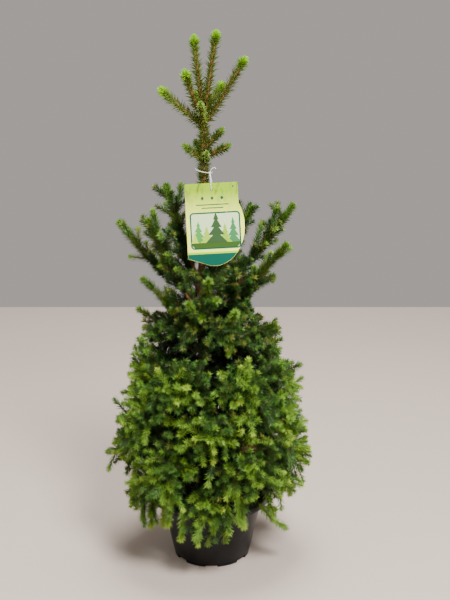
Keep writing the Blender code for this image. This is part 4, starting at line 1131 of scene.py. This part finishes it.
def needle_tree():
    """Needles set singly along a mesh's edges, each a golden angle on from the last."""
    tree, given = new_tree("needled_twigs", Spacing="Float", Turn="Float", Width="Float", Needle="Object",
                           Seed="Int")
    curves = add_node(tree, "GeometryNodeMeshToCurve", {"Mesh": given["Geometry"]})
    pegs = add_node(tree, "GeometryNodeCurveToPoints", {"Curve": curves, "Length": given["Spacing"]},
                    mode="LENGTH")
    number = add_node(tree, "GeometryNodeInputIndex", {})
    turn = add_node(tree, "ShaderNodeMath", {0: number, 1: given["Turn"]}, operation="MULTIPLY")
    uneven = add_node(tree, "FunctionNodeRandomValue", {
        2: -NEEDLE_UNEVEN, 3: NEEDLE_UNEVEN, "Seed": given["Seed"]}, data_type="FLOAT").outputs[1]
    turned = add_node(tree, "ShaderNodeMath", {0: turn, 1: uneven}, operation="ADD")
    lean = add_node(tree, "GeometryNodeInputNamedAttribute", {"Name": "lean"}, data_type="FLOAT")
    leaning = add_node(tree, "ShaderNodeMath", {0: lean.outputs["Attribute"], 1: uneven}, operation="ADD")
    aim = pegs.outputs["Rotation"]
    for axis, angle in (((0, 0, 1), turned), ((1, 0, 0), leaning)):
        by = add_node(tree, "FunctionNodeAxisAngleToRotation", {"Axis": axis, "Angle": angle})
        aim = add_node(tree, "FunctionNodeRotateRotation", {"Rotation": aim, "Rotate By": by},
                       rotation_space="LOCAL")
    size = add_node(tree, "GeometryNodeInputNamedAttribute", {"Name": "size"}, data_type="FLOAT")
    scatter = add_node(tree, "FunctionNodeRandomValue", {
        2: NEEDLE_SCATTER[0], 3: NEEDLE_SCATTER[1], "Seed": given["Seed"]}, data_type="FLOAT")
    length = add_node(tree, "ShaderNodeMath", {0: size.outputs["Attribute"], 1: scatter.outputs[1]},
                      operation="MULTIPLY")
    shape = add_node(tree, "ShaderNodeCombineXYZ", {"X": given["Width"], "Y": given["Width"], "Z": length})
    needle = add_node(tree, "GeometryNodeObjectInfo", {"Object": given["Needle"]})
    return end_tree(tree, add_node(tree, "GeometryNodeInstanceOnPoints", {
        "Points": pegs.outputs["Points"], "Instance": needle.outputs["Geometry"], "Rotation": aim,
        "Scale": shape}), given)


def part_line(line, first, last, steps=4):
    """The stretch of a line between two shares of its length."""
    return [along_path(line, first + (last - first) * share)[0] for share in shares(steps)]


def set_needles(kind, line, length, foot_lean, tip_lean, tip_size=0.85):
    """Needles along a line, of a length in metres, whose lean in degrees changes from foot to tip."""
    rows = shares(len(line) - 1)
    needled[kind].append((line, [length * (1 + (tip_size - 1) * share ** 2) for share in rows],
                          [math.radians(foot_lean + (tip_lean - foot_lean) * share) for share in rows]))


def tints_of(chance, end, depth, out):
    """Kinds of needle for a shoot's body and tip: painted shade deep in the crown, painted light low down."""
    if depth == "fork":
        return "grown", "fresh"
    # Painted light: hanging shoots get the lighter tints
    if depth == "hanging":
        return chance.choice(HANGING_PAINTED_LIGHT_TINTS)
    # Painted shade: the near black kind deepest in the crown, darker inner tints further out
    if out < SHADED_TO and end.z < SHADED_TOP:
        return "shaded", "shaded"
    if out < INNER_SHADE_TO:
        return chance.choice(INNER_PAINTED_SHADE_TINTS)
    if WAIST_HEIGHTS[0] < end.z < WAIST_HEIGHTS[1] and out < 1.0:
        return chance.choice(WAIST_TINTS)
    if end.z > HIGH_FROM:
        return chance.choice(HIGH_TINTS)
    patch = noise.noise(end / PATCH_WIDTH) + chance.uniform(-PATCH_SPREAD, PATCH_SPREAD)
    # Painted light: low shoots are moved towards the lighter tints
    patch += LOW_PAINTED_LIGHT if end.z < LOW_SHOOTS else 0.0
    return next(pair for level, pair in PATCHES if patch > level)


chance = random.Random("greens")
for line, (start, end, depth) in zip(twig_lines, sprays):
    out = exposure(end) + chance.uniform(-EXPOSURE_SCATTER, EXPOSURE_SCATTER)
    tints = tints_of(chance, end, depth, out)
    if out < DRY_TO and chance.random() < DRY_SHARE:
        tints = "dry", "dry"
    if tints[0] == "shaded":
        set_needles("shaded", part_line(line, SHADED_FROM, 1.0), INNER_NEEDLE, *SHADED_LEANS)
        continue
    full = depth in ("hanging", "fork")
    length = NEEDLE_LENGTH * chance.uniform(*LENGTH_SCATTER)
    if full:
        length = HANGING_NEEDLE
    for tint, first, last, share, *leans in FULL_STRETCHES if full else SPRAY_STRETCHES:
        set_needles(tints[tint], part_line(line, first, last), length * share, *leans)
    if chance.random() < BUD_SHARE:
        set_needles("bud", part_line(line, BUD_FROM, 1.0), BUD_LENGTH, *BUD_LEANS)

for limb_name, path in limbs.items():
    layers = SLEEVE_LAYERS.get(limb_name.split("_")[0], 0)
    for layer in range(layers):
        low = "grown" if limb_name == FRONT_BOUGH else "old"
        middle, high = ("olive", "fresh") if layer % 2 else ("grown", "grown")
        for tint, (first, later, last, steps, share, *leans) in zip((low, middle, high), LIMB_STRETCHES):
            line = part_line(path, first + later * layer, last, steps)
            set_needles(tint, line, LIMB_NEEDLE * share, *leans)
    if not layers:
        for kind, first, last, steps, length, *leans in HIDDEN_STRETCHES:
            set_needles(kind, part_line(path, first, last, steps), length, *leans, 1.0)
    for layer in range(LIMB_TIP_LAYERS):
        tip_line = part_line(path, LIMB_TIP_FROM + LIMB_TIP_STEP * layer, 1.0)
        set_needles("fresh", tip_line, NEEDLE_LENGTH, *LIMB_TIP_LEANS)


# Leader
# The strong top growth: a fork of upright shoots, orange-brown under short dark needles, each ended
# by a brush of bright new needles. Below it a second whorl of short shoots, and needles on the trunk.
LEADER_TIP = (0, 0.010, 1.020)
# The side shoots' foot height, azimuth, reach and tip height
TOP_SHOOTS = (
    (0.880, 180, 0.029, 1.012), (0.860, 0, 0.060, 0.974), (0.860, 214, 0.053, 0.953),
    (0.857, 180, 0.088, 0.920), (0.884, 57, 0.036, 0.927), (0.862, 251, 0.052, 0.903),
    (0.870, 125, 0.048, 0.908), (0.796, 180, 0.046, 0.819), (0.816, 0, 0.019, 0.848),
    (0.800, 340, 0.033, 0.822), (0.800, 140, 0.036, 0.824), (0.797, 255, 0.026, 0.812),
)
KNEE_RISE = 0.030
KNEE_SIDEWAYS = 0.001
LEADER_BOW = 0.004
SECOND_BOW = 0.003
LEADER_RADIUS = 0.0050
LEADER_SHOOT_RADIUS = 0.0043
LEADER_TIP_RADIUS = 0.0033
LEADER_SIDES = 14
LEADER_RING_STEP = 0.0012
LEADER_RELIEF = 0.0003
LEADER_NEEDLE = 0.0178
SHORTEST_LEADER_NEEDLE = 0.7
BRUSH_NEEDLE = 0.0134
BRUSH_LENGTH = 0.009
BRUSH_LAYERS = 11
BRUSH_LAYER_STEP = 0.075
COLLAR_LENGTH = 0.013
COLLAR_OVERLAP = 0.3
COLLAR_LAYERS = 3
LEADER_NEEDLES_FROM = 0.04
# Shoots with a plain tip for a brush, by number, and the share of the full length that its needles have
PLAIN_TIPS = {6: 0.55, 8: 0.9, 9: 0.9, 10: 0.9, 11: 0.8, 12: 0.5}
SLEEVE_NEEDLE = 0.0170
SLEEVE_STEPS = 16
SLEEVE_NEEDLE_LAYERS = 3
# The needles' lean in degrees at the foot and the tip of a stretch, and their size at its tip
LEADER_LEANS = (56, 48, 0.80)
COLLAR_LEANS = (52, 62, 1.0)
BRUSH_LEANS = (74, 2, 0.80)
SLEEVE_LEANS = (54, 50, 1.0)
PEG_WIDTH = 0.0016
PEG_HEIGHT = 0.0028
PEG_GOLD = "7e5410"
PEG_DARK = "3e2806"


def leader_lines():
    """The leader and its shoots, as lines with the radius at their foot."""
    fork = trunk_axis(FORK_HEIGHT)
    knee = fork + Vector((KNEE_SIDEWAYS, 0.0, KNEE_RISE))
    tip = place_at(*LEADER_TIP)
    lines = [([fork, fork.lerp(knee, 0.5)] + [knee.lerp(tip, share) for share in shares(8)], LEADER_RADIUS)]
    for foot_height, azimuth, reach, height in TOP_SHOOTS:
        start, bow = trunk_axis(foot_height), SECOND_BOW
        if foot_height > FORK_HEIGHT:
            start, bow = fork.lerp(knee, (foot_height - FORK_HEIGHT) / KNEE_RISE), LEADER_BOW
        end = place_at(azimuth, reach, height)
        middle = start.lerp(end, 0.5) + outward_from(end) * bow
        lines.append((limb_path(start, middle, end), LEADER_SHOOT_RADIUS))
    return lines


def shoot_bark():
    """Bark of young shoots: golden brown pegs that the needles stand on, dark between them."""
    material, tree, shader = new_material("shoot_bark", PEG_GOLD, 0.70)
    place = add_node(tree, "ShaderNodeTexCoord", {}).outputs["Object"]
    spot = add_node(tree, "ShaderNodeMapping", {
        "Vector": place, "Scale": (1 / PEG_WIDTH, 1 / PEG_WIDTH, 1 / PEG_HEIGHT)})
    pegs = add_node(tree, "ShaderNodeTexVoronoi", {"Vector": spot, "Scale": 1.0})
    dark = add_node(tree, "ShaderNodeMapRange", {
        "Value": pegs.outputs["Distance"], "From Min": 0.15, "From Max": 0.75})
    colour = add_node(tree, "ShaderNodeMix", {
        "Factor": dark, "A": linear(PEG_GOLD), "B": linear(PEG_DARK)}, data_type="RGBA")
    fill_inputs(shader, {"Base Color": colour.outputs["Result"]})
    return material


leaders = leader_lines()
leader_mesh = joined_mesh("leader_shoots", [
    tapered_bark(line, foot, LEADER_TIP_RADIUS, LEADER_RING_STEP, LEADER_SIDES, LEADER_RELIEF)
    for line, foot in leaders])
leader_mesh.materials.append(shoot_bark())
place_piece("leader_shoots", leader_mesh, "bark", "leader_foliage")
for number, (line, foot) in enumerate(leaders):
    total = path_length(line)
    brush = 1 - BRUSH_LENGTH / total
    collar = brush - COLLAR_LENGTH / total
    short = PLAIN_TIPS.get(number, 1.0)
    set_needles("leader", part_line(line, LEADER_NEEDLES_FROM, brush, 8),
                LEADER_NEEDLE * max(short, SHORTEST_LEADER_NEEDLE), *LEADER_LEANS)
    low, high = ("grown", "fresh") if number in PLAIN_TIPS else ("fresh", "brush")
    collar_line = part_line(line, collar, brush + COLLAR_OVERLAP * (1 - brush))
    for layer in range(COLLAR_LAYERS):
        set_needles(low, collar_line, BRUSH_NEEDLE * short, *COLLAR_LEANS)
    for layer in range(BRUSH_LAYERS):
        start = brush + (1 - brush) * BRUSH_LAYER_STEP * layer
        set_needles(high, part_line(line, start, 1.0), BRUSH_NEEDLE * short, *BRUSH_LEANS)
sleeve_line = [trunk_axis(SLEEVE_FOOT + (FORK_HEIGHT - SLEEVE_FOOT) * share)
               for share in shares(SLEEVE_STEPS)]
for layer in range(SLEEVE_NEEDLE_LAYERS):
    set_needles("leader", sleeve_line[layer:], SLEEVE_NEEDLE, *SLEEVE_LEANS)

blade = add_object("blade", needle_mesh())
needles = needle_tree()
for kind, stretches in needled.items():
    colour, spacing, width = KINDS[kind]
    finish = new_material(f"{kind}_needle", colour, NEEDLE_ROUGHNESS, NEEDLE_GLOSS)[0]
    group, count, number = [], 0.0, 1
    for place, stretch in enumerate(stretches):
        group.append(stretch)
        count += path_length(stretch[0]) / spacing + 1
        if count > NEEDLES_A_PIECE - PIECE_MARGIN or place == len(stretches) - 1:
            lines, sizes, leans = zip(*group)
            mesh = run_tree(needles, line_mesh(lines, size=sizes, lean=leans), Spacing=spacing,
                            Turn=GOLDEN_TURN, Width=width, Needle=blade, Seed=NEEDLE_SEED, Material=finish)
            place_piece(f"{kind}_needles_{number}", mesh, "needles")
            group, count, number = [], 0.0, number + 1
bpy.data.objects.remove(blade, do_unlink=True)
masses = [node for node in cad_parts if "foliage" in node or node == "leader_needles"]
masses.remove("leader_foliage")
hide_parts(*masses)


# Tag
# A hang tag die cut from thin plastic card, straight at its left and top and rounded at its right and
# bottom, with two punched holes. Its face is printed in lime and teal, with a plain row of conifers.
TAG_RIGHT = 0.0485
TAG_CORNER_BOTTOM = -0.1254
TAG_ROUND_START = 32.5
TAG_ROUND_END = -110.0
TAG_ROUND_STEPS = 48
TAG_HOLE_RADIUS = 0.0022
TAG_HOLE_SIDES = 24
TAG_HOLE_CUT = 0.010
TAG_SECOND_HOLE = (0.0391, 0.0047)
INK_LAYER = 0.00004
STREAK_WIDTH = 0.007
STREAK_HEIGHT = 0.030
LIME_FROM = 0.688
LIME_TO = 0.742
# The print is satin, as ink under a thin gloss coat. The card's back and edge are a little smoother
CARD_GLOSS = 0.2
PRINT_ROUGHNESS = 0.42
CARD_ROUGHNESS = 0.35
FACING_FRONT = -0.9
CARD_WHITE = "f2f2ea"
CARD_LIME = "8cb200"
CARD_STREAK = "5c7a08"
CARD_PALE = "f2ff66"
INK_COLOURS = {"teal": "005040", "lime": "a4cc00", "sky": "c4dca4", "grass": "38561c"}
BAND_TOP = -0.114
BAND_INSET = 0.0003
STRIPE_DEPTH = 0.0035
FRAME_BOX = (-0.043, 0.050, -0.109, -0.041)
FRAME_EDGE = 0.0028
FRAME_CORNER = 0.007
DIAMONDS = (-0.018, 0.0, 0.018)
DIAMOND_WIDTH = 0.0062
DIAMOND_HEIGHT = 0.0082
DIAMOND_PLACE = -0.0155
RULES = ((-0.030, 0.030, -0.0265), (-0.020, 0.020, -0.0325))
RULE_DEPTH = 0.0018
PRINTED_TREES = (
    (-0.028, 0.040, 0.028, "4c9440"), (0.036, 0.046, 0.026, "3c7c48"), (0.021, 0.034, 0.026, "8cb42c"),
    (-0.013, 0.030, 0.026, "9cbc34"), (0.005, 0.056, 0.040, "34502c"), (-0.035, 0.020, 0.016, "b4cc3c"),
)
TREE_FOOT = -0.097
TREE_TIERS = 4
TREE_NOTCH = 0.45
GRASS_RISES = (0.004, 0.007, 0.003)
GRASS_TOP = 0.004


def card_face():
    """Printed lime ink that fades to pale down the card, with soft darker streaks, under a gloss coat."""
    material, tree, shader = new_material("printed_card", CARD_LIME, PRINT_ROUGHNESS, CARD_GLOSS)
    place = add_node(tree, "ShaderNodeTexCoord", {}).outputs["Object"]
    height = add_node(tree, "ShaderNodeSeparateXYZ", {0: place}).outputs["Z"]
    fade = add_node(tree, "ShaderNodeMapRange", {"Value": height, "From Min": LIME_FROM, "From Max": LIME_TO})
    stretched = add_node(tree, "ShaderNodeMapping", {
        "Vector": place, "Scale": (1 / STREAK_WIDTH, 1 / STREAK_WIDTH, 1 / STREAK_HEIGHT)})
    streaks = add_node(tree, "ShaderNodeTexNoise", {"Vector": stretched, "Scale": 1.0, "Detail": 2.0})
    streak = add_node(tree, "ShaderNodeMapRange", {
        "Value": streaks.outputs["Fac"], "From Min": 0.50, "From Max": 0.70, "To Max": 0.8})
    lime = add_node(tree, "ShaderNodeMix", {
        "Factor": streak, "A": linear(CARD_LIME), "B": linear(CARD_STREAK)}, data_type="RGBA")
    colour = add_node(tree, "ShaderNodeMix", {
        "Factor": fade, "A": linear(CARD_PALE), "B": lime.outputs["Result"]}, data_type="RGBA")
    fill_inputs(shader, {"Base Color": colour.outputs["Result"]})
    return material


def tag_sheet(name, outline, layer):
    """A closed sheet in the tag's plane: the card itself as layer 0, or ink that many layers proud."""
    back = TAG_THICKNESS / 2 if layer == 0 else 0.0
    front = -TAG_THICKNESS / 2 - INK_LAYER * layer
    bm = bmesh.new()
    face = bm.faces.new([bm.verts.new((x, front, z)) for x, z in outline])
    grown = bmesh.ops.extrude_face_region(bm, geom=[face])
    moved = [part for part in grown["geom"] if isinstance(part, bmesh.types.BMVert)]
    bmesh.ops.translate(bm, verts=moved, vec=(0.0, back - front, 0.0))
    return closed_mesh(name, bm)


def round_edge(start, inset):
    """Points down the card's rounded edge from an angle in degrees to its bottom left."""
    return arc(0.0, TAG_ROUND_MIDDLE, TAG_ROUND_WIDTH - inset, TAG_ROUND_HEIGHT - inset, start, TAG_ROUND_END,
               TAG_ROUND_STEPS)


def card_mesh():
    """The card with its holes, where it hangs, printed on its front alone."""
    outline = [(TAG_LEFT, TAG_TOP), (TAG_RIGHT, TAG_TOP), *round_edge(TAG_ROUND_START, 0.0)]
    outline.append((TAG_LEFT, TAG_CORNER_BOTTOM))
    bm = bmesh.new()
    for x, z in ((0.0, 0.0), TAG_SECOND_HOLE):
        bmesh.ops.create_cone(bm, cap_ends=True, segments=TAG_HOLE_SIDES, radius1=TAG_HOLE_RADIUS,
                              radius2=TAG_HOLE_RADIUS, depth=TAG_HOLE_CUT,
                              matrix=Matrix.Translation((x, 0.0, z)) @ Matrix.Rotation(math.pi / 2, 4, "X"))
    mesh = cut_mesh(tag_sheet("card", outline, 0), closed_mesh("holes", bm))
    mesh.materials.append(new_material("white_card", CARD_WHITE, CARD_ROUGHNESS)[0])
    mesh.materials.append(card_face())
    for polygon in mesh.polygons:
        polygon.material_index = 1 if polygon.normal.y < FACING_FRONT else 0
    mesh.transform(TAG_MATRIX)
    return mesh


def rounded_box(left, right, foot, top, corner):
    """Outline of a rectangle with round corners."""
    outline = []
    for x, z, start in ((right - corner, top - corner, 90), (right - corner, foot + corner, 0),
                        (left + corner, foot + corner, -90), (left + corner, top - corner, -180)):
        outline += arc(x, z, corner, corner, start, start - 90, 8)
    return outline


def conifer(x, height, width):
    """Outline of a plain conifer of stacked triangles."""
    right = [(0.0, height)]
    for tier in range(1, TREE_TIERS + 1):
        low = height * (1 - tier / TREE_TIERS)
        wide = width / 2 * tier / TREE_TIERS
        right += [(wide, low), (wide * TREE_NOTCH, low)]
    right.pop()
    left = [(-a, z) for a, z in reversed(right[1:])]
    return [(x + a, TREE_FOOT + z) for a, z in right + left]


def band_outline(top):
    """The foot of the card below a height, inside its edge."""
    start = math.degrees(math.asin((top - TAG_ROUND_MIDDLE) / (TAG_ROUND_HEIGHT - BAND_INSET)))
    left = TAG_LEFT + BAND_INSET
    return [(left, top), *round_edge(start, BAND_INSET), (left, TAG_CORNER_BOTTOM + BAND_INSET)]


place_piece("hang_tag", card_mesh(), "tag_card", "tag")
left, right, foot, top = FRAME_BOX
inner_left, inner_right, inner_foot = left + FRAME_EDGE, right - FRAME_EDGE, foot + FRAME_EDGE
left_rise, middle_rise, right_rise = GRASS_RISES
inks = {
    "teal": [(band_outline(BAND_TOP - STRIPE_DEPTH), 2), (rounded_box(*FRAME_BOX, FRAME_CORNER), 1)],
    "lime": [(band_outline(BAND_TOP), 1)],
    "sky": [(rounded_box(inner_left, inner_right, inner_foot, top - FRAME_EDGE,
                         FRAME_CORNER - FRAME_EDGE), 2)],
    "grass": [([(inner_left, TREE_FOOT + left_rise), (GRASS_TOP, TREE_FOOT + middle_rise),
                (inner_right, TREE_FOOT + right_rise), (inner_right, foot + FRAME_CORNER),
                (right - FRAME_CORNER, inner_foot), (left + FRAME_CORNER, inner_foot),
                (inner_left, foot + FRAME_CORNER)], 3)],
}
for x in DIAMONDS:
    inks["teal"].append(([(x + across * DIAMOND_WIDTH / 2, DIAMOND_PLACE + up * DIAMOND_HEIGHT / 2)
                          for across, up in ((0, 1), (1, 0), (0, -1), (-1, 0))], 1))
for start, end, height in RULES:
    low = height - RULE_DEPTH
    inks["teal"].append(([(start, height), (end, height), (end, low), (start, low)], 1))
for number, (x, height, width, colour) in enumerate(PRINTED_TREES):
    inks[f"tree_{number + 1}"] = [(conifer(x, height, width), 4 + number)]
    INK_COLOURS[f"tree_{number + 1}"] = colour
for ink, shapes in inks.items():
    ink_mesh = joined_mesh(f"{ink}_ink", [tag_sheet("print", outline, layer) for outline, layer in shapes])
    ink_mesh.transform(TAG_MATRIX)
    ink_mesh.materials.append(new_material(f"{ink}_ink", INK_COLOURS[ink], PRINT_ROUGHNESS, CARD_GLOSS)[0])
    place_piece(f"{ink}_print", ink_mesh, "tag_card")


# String
# White polyester twine of two plies, 1.4 mm thick: a slack loop round the needled leader, a knot at
# its front right with a loose end, and two strands that run down and through the tag's hole.
STRING_RADIUS = 0.0007
PLY_RADIUS = 0.00042
PLY_PITCH = 0.0034
PLY_STEP = 0.0004
PLY_SIDES = 6
STRING_GAP = 0.0003
STRING_LOOP_HEIGHT = 0.7745
STRING_LOOP_TILT = math.radians(12)
STRING_LOOP_STEPS = 60
KNOT_RADIUS = 0.0017
KNOT_ANGLE = -42
KNOT_STEPS = 48
STRAND_SIDE = 0.0012
STRAND_CLEAR = 0.0012
STRAND_LOW = 0.0045
STRAND_HIGH = 0.0150
LOOSE_END = ((0.0030, -0.0020, 0.0075), (0.0085, -0.0030, 0.0105), (0.0110, -0.0030, 0.0085))
STRAND_STEPS = 60
LOOSE_STEPS = 24
# Polyester fibre looks soft and slightly silky
STRING_WHITE = "eceae4"
STRING_ROUGHNESS = 0.6


def smooth_points(guides, count):
    """Points on a smooth curve through the guide points."""
    padded = [guides[0], *guides, guides[-1]]
    spans = len(guides) - 1
    points = []
    for share in shares(count):
        place = min(share * spans, spans - 1e-9)
        first = int(place)
        t = place - first
        p0, p1, p2, p3 = padded[first:first + 4]
        points.append(0.5 * (2 * p1 + (p2 - p0) * t + (2 * p0 - 5 * p1 + 4 * p2 - p3) * t * t
                             + (3 * p1 - p0 - 3 * p2 + p3) * t * t * t))
    return points


def ply_lines(points):
    """The two plies that twist about a path."""
    steps = round(path_length(points) / PLY_STEP)
    plies = []
    for half in (0, 1):
        ply = []
        for step in range(steps + 1):
            centre, along = along_path(points, step / steps)
            side, up = frame_across(along)
            turn = 2 * math.pi * (step * PLY_STEP / PLY_PITCH + half / 2)
            ply.append(centre + around(side, up, turn) * (STRING_RADIUS - PLY_RADIUS))
        plies.append(ply)
    return plies


def loop_point(angle):
    """A point of the loop round the leader, at an angle in degrees."""
    out = place_at(angle, SLEEVE_REACH + STRING_GAP + STRING_RADIUS, 0.0)
    return trunk_axis(STRING_LOOP_HEIGHT) + Matrix.Rotation(STRING_LOOP_TILT, 3, "Y") @ out


knot = loop_point(KNOT_ANGLE)
clear = TAG_THICKNESS / 2 + STRING_GAP + STRING_RADIUS + STRAND_CLEAR
front_low, front_high, in_hole, back_low, back_high = (TAG_MATRIX @ Vector(place) for place in (
    (-STRAND_SIDE / 2, -clear, STRAND_LOW), (-STRAND_SIDE, -2 * clear, STRAND_HIGH),
    (0.0, 0.0, -TAG_HOLE_RADIUS / 2), (STRAND_SIDE / 2, clear, STRAND_LOW),
    (STRAND_SIDE, clear + STRAND_CLEAR, STRAND_HIGH)))
string_paths = [
    [loop_point(KNOT_ANGLE + 360 * share) for share in shares(STRING_LOOP_STEPS)],
    smooth_points((knot, knot.lerp(front_high, 0.5), front_low, in_hole, back_low, back_high, knot),
                  STRAND_STEPS),
    smooth_points([knot] + [knot + Vector(offset) for offset in LOOSE_END], LOOSE_STEPS),
]
string_lines = [ply for path in string_paths for ply in ply_lines(path)]
# The knot is a trefoil
string_lines.append([knot + Vector((
    math.sin(turn) + 2 * math.sin(2 * turn), -math.sin(3 * turn), math.cos(turn) - 2 * math.cos(2 * turn)))
    * KNOT_RADIUS / 3 for turn in (2 * math.pi * share for share in shares(KNOT_STEPS))])
string_radii = [[PLY_RADIUS] * len(line) for line in string_lines[:-1]] + [[STRING_RADIUS] * (KNOT_STEPS + 1)]
string_mesh = run_tree(tubes, line_mesh(string_lines, thickness=string_radii), Sides=PLY_SIDES,
                       Material=new_material("polyester_twine", STRING_WHITE, STRING_ROUGHNESS)[0])
string_mesh.shade_smooth()
place_piece("tag_twine", string_mesh, "string", "tag_string")


# Studio
# A plain pale floor under a grey room, lit softly from above and from the front right, as in the
# photograph. The camera stands 2.1 m in front of the plant at chest height and looks down a little.
CAMERA_PLACE = (0.0264, -2.115, 1.120)
CAMERA_PITCH = 15.69
CAMERA_LENS = 69.0
CAMERA_SENSOR = 36.0
FLOOR_WIDTH = 7.0
FLOOR_FRONT = -3.4
FLOOR_BACK = 1.78
# The floor is matt, with no reflection
FLOOR_GREY = "b8a99d"
FLOOR_ROUGHNESS = 0.8
ROOM_GREY = "b0aaa6"
ROOM_LIGHT = 0.95
LIT_POINT = Vector((0.0, 0.0, 0.45))
# Each light's place, its size in metres and its power in watts
LIGHTS = {
    "key": ((0.8, -1.7, 2.6), 0.9, 180),
    "fill": ((-1.9, -1.5, 1.6), 1.8, 12),
    "top": ((0.1, 0.2, 2.9), 1.2, 105),
}

camera = add_object("camera", bpy.data.cameras.new("camera"))
camera.data.lens = CAMERA_LENS
camera.data.sensor_width = CAMERA_SENSOR
camera.location = CAMERA_PLACE
camera.rotation_euler = (math.radians(90 - CAMERA_PITCH), 0.0, 0.0)
bpy.context.scene.camera = camera

half = FLOOR_WIDTH / 2
floor_mesh = bpy.data.meshes.new("floor")
floor_mesh.from_pydata([(-half, FLOOR_FRONT, 0.0), (half, FLOOR_FRONT, 0.0), (half, FLOOR_BACK, 0.0),
                        (-half, FLOOR_BACK, 0.0)], [], [(0, 1, 2, 3)])
floor_mesh.materials.append(new_material("pale_floor", FLOOR_GREY, FLOOR_ROUGHNESS)[0])
add_object("floor", floor_mesh)

world = bpy.data.worlds.new("room")
bpy.context.scene.world = world
world.use_nodes = True
fill_inputs(world.node_tree.nodes["Background"], {"Color": linear(ROOM_GREY), "Strength": ROOM_LIGHT})

for name, (place, size, power) in LIGHTS.items():
    light = add_object(name, bpy.data.lights.new(name, "AREA"))
    light.data.shape = "DISK"
    light.data.size = size
    light.data.energy = power
    light.location = place
    light.rotation_euler = (LIT_POINT - Vector(place)).to_track_quat("-Z", "Y").to_euler()
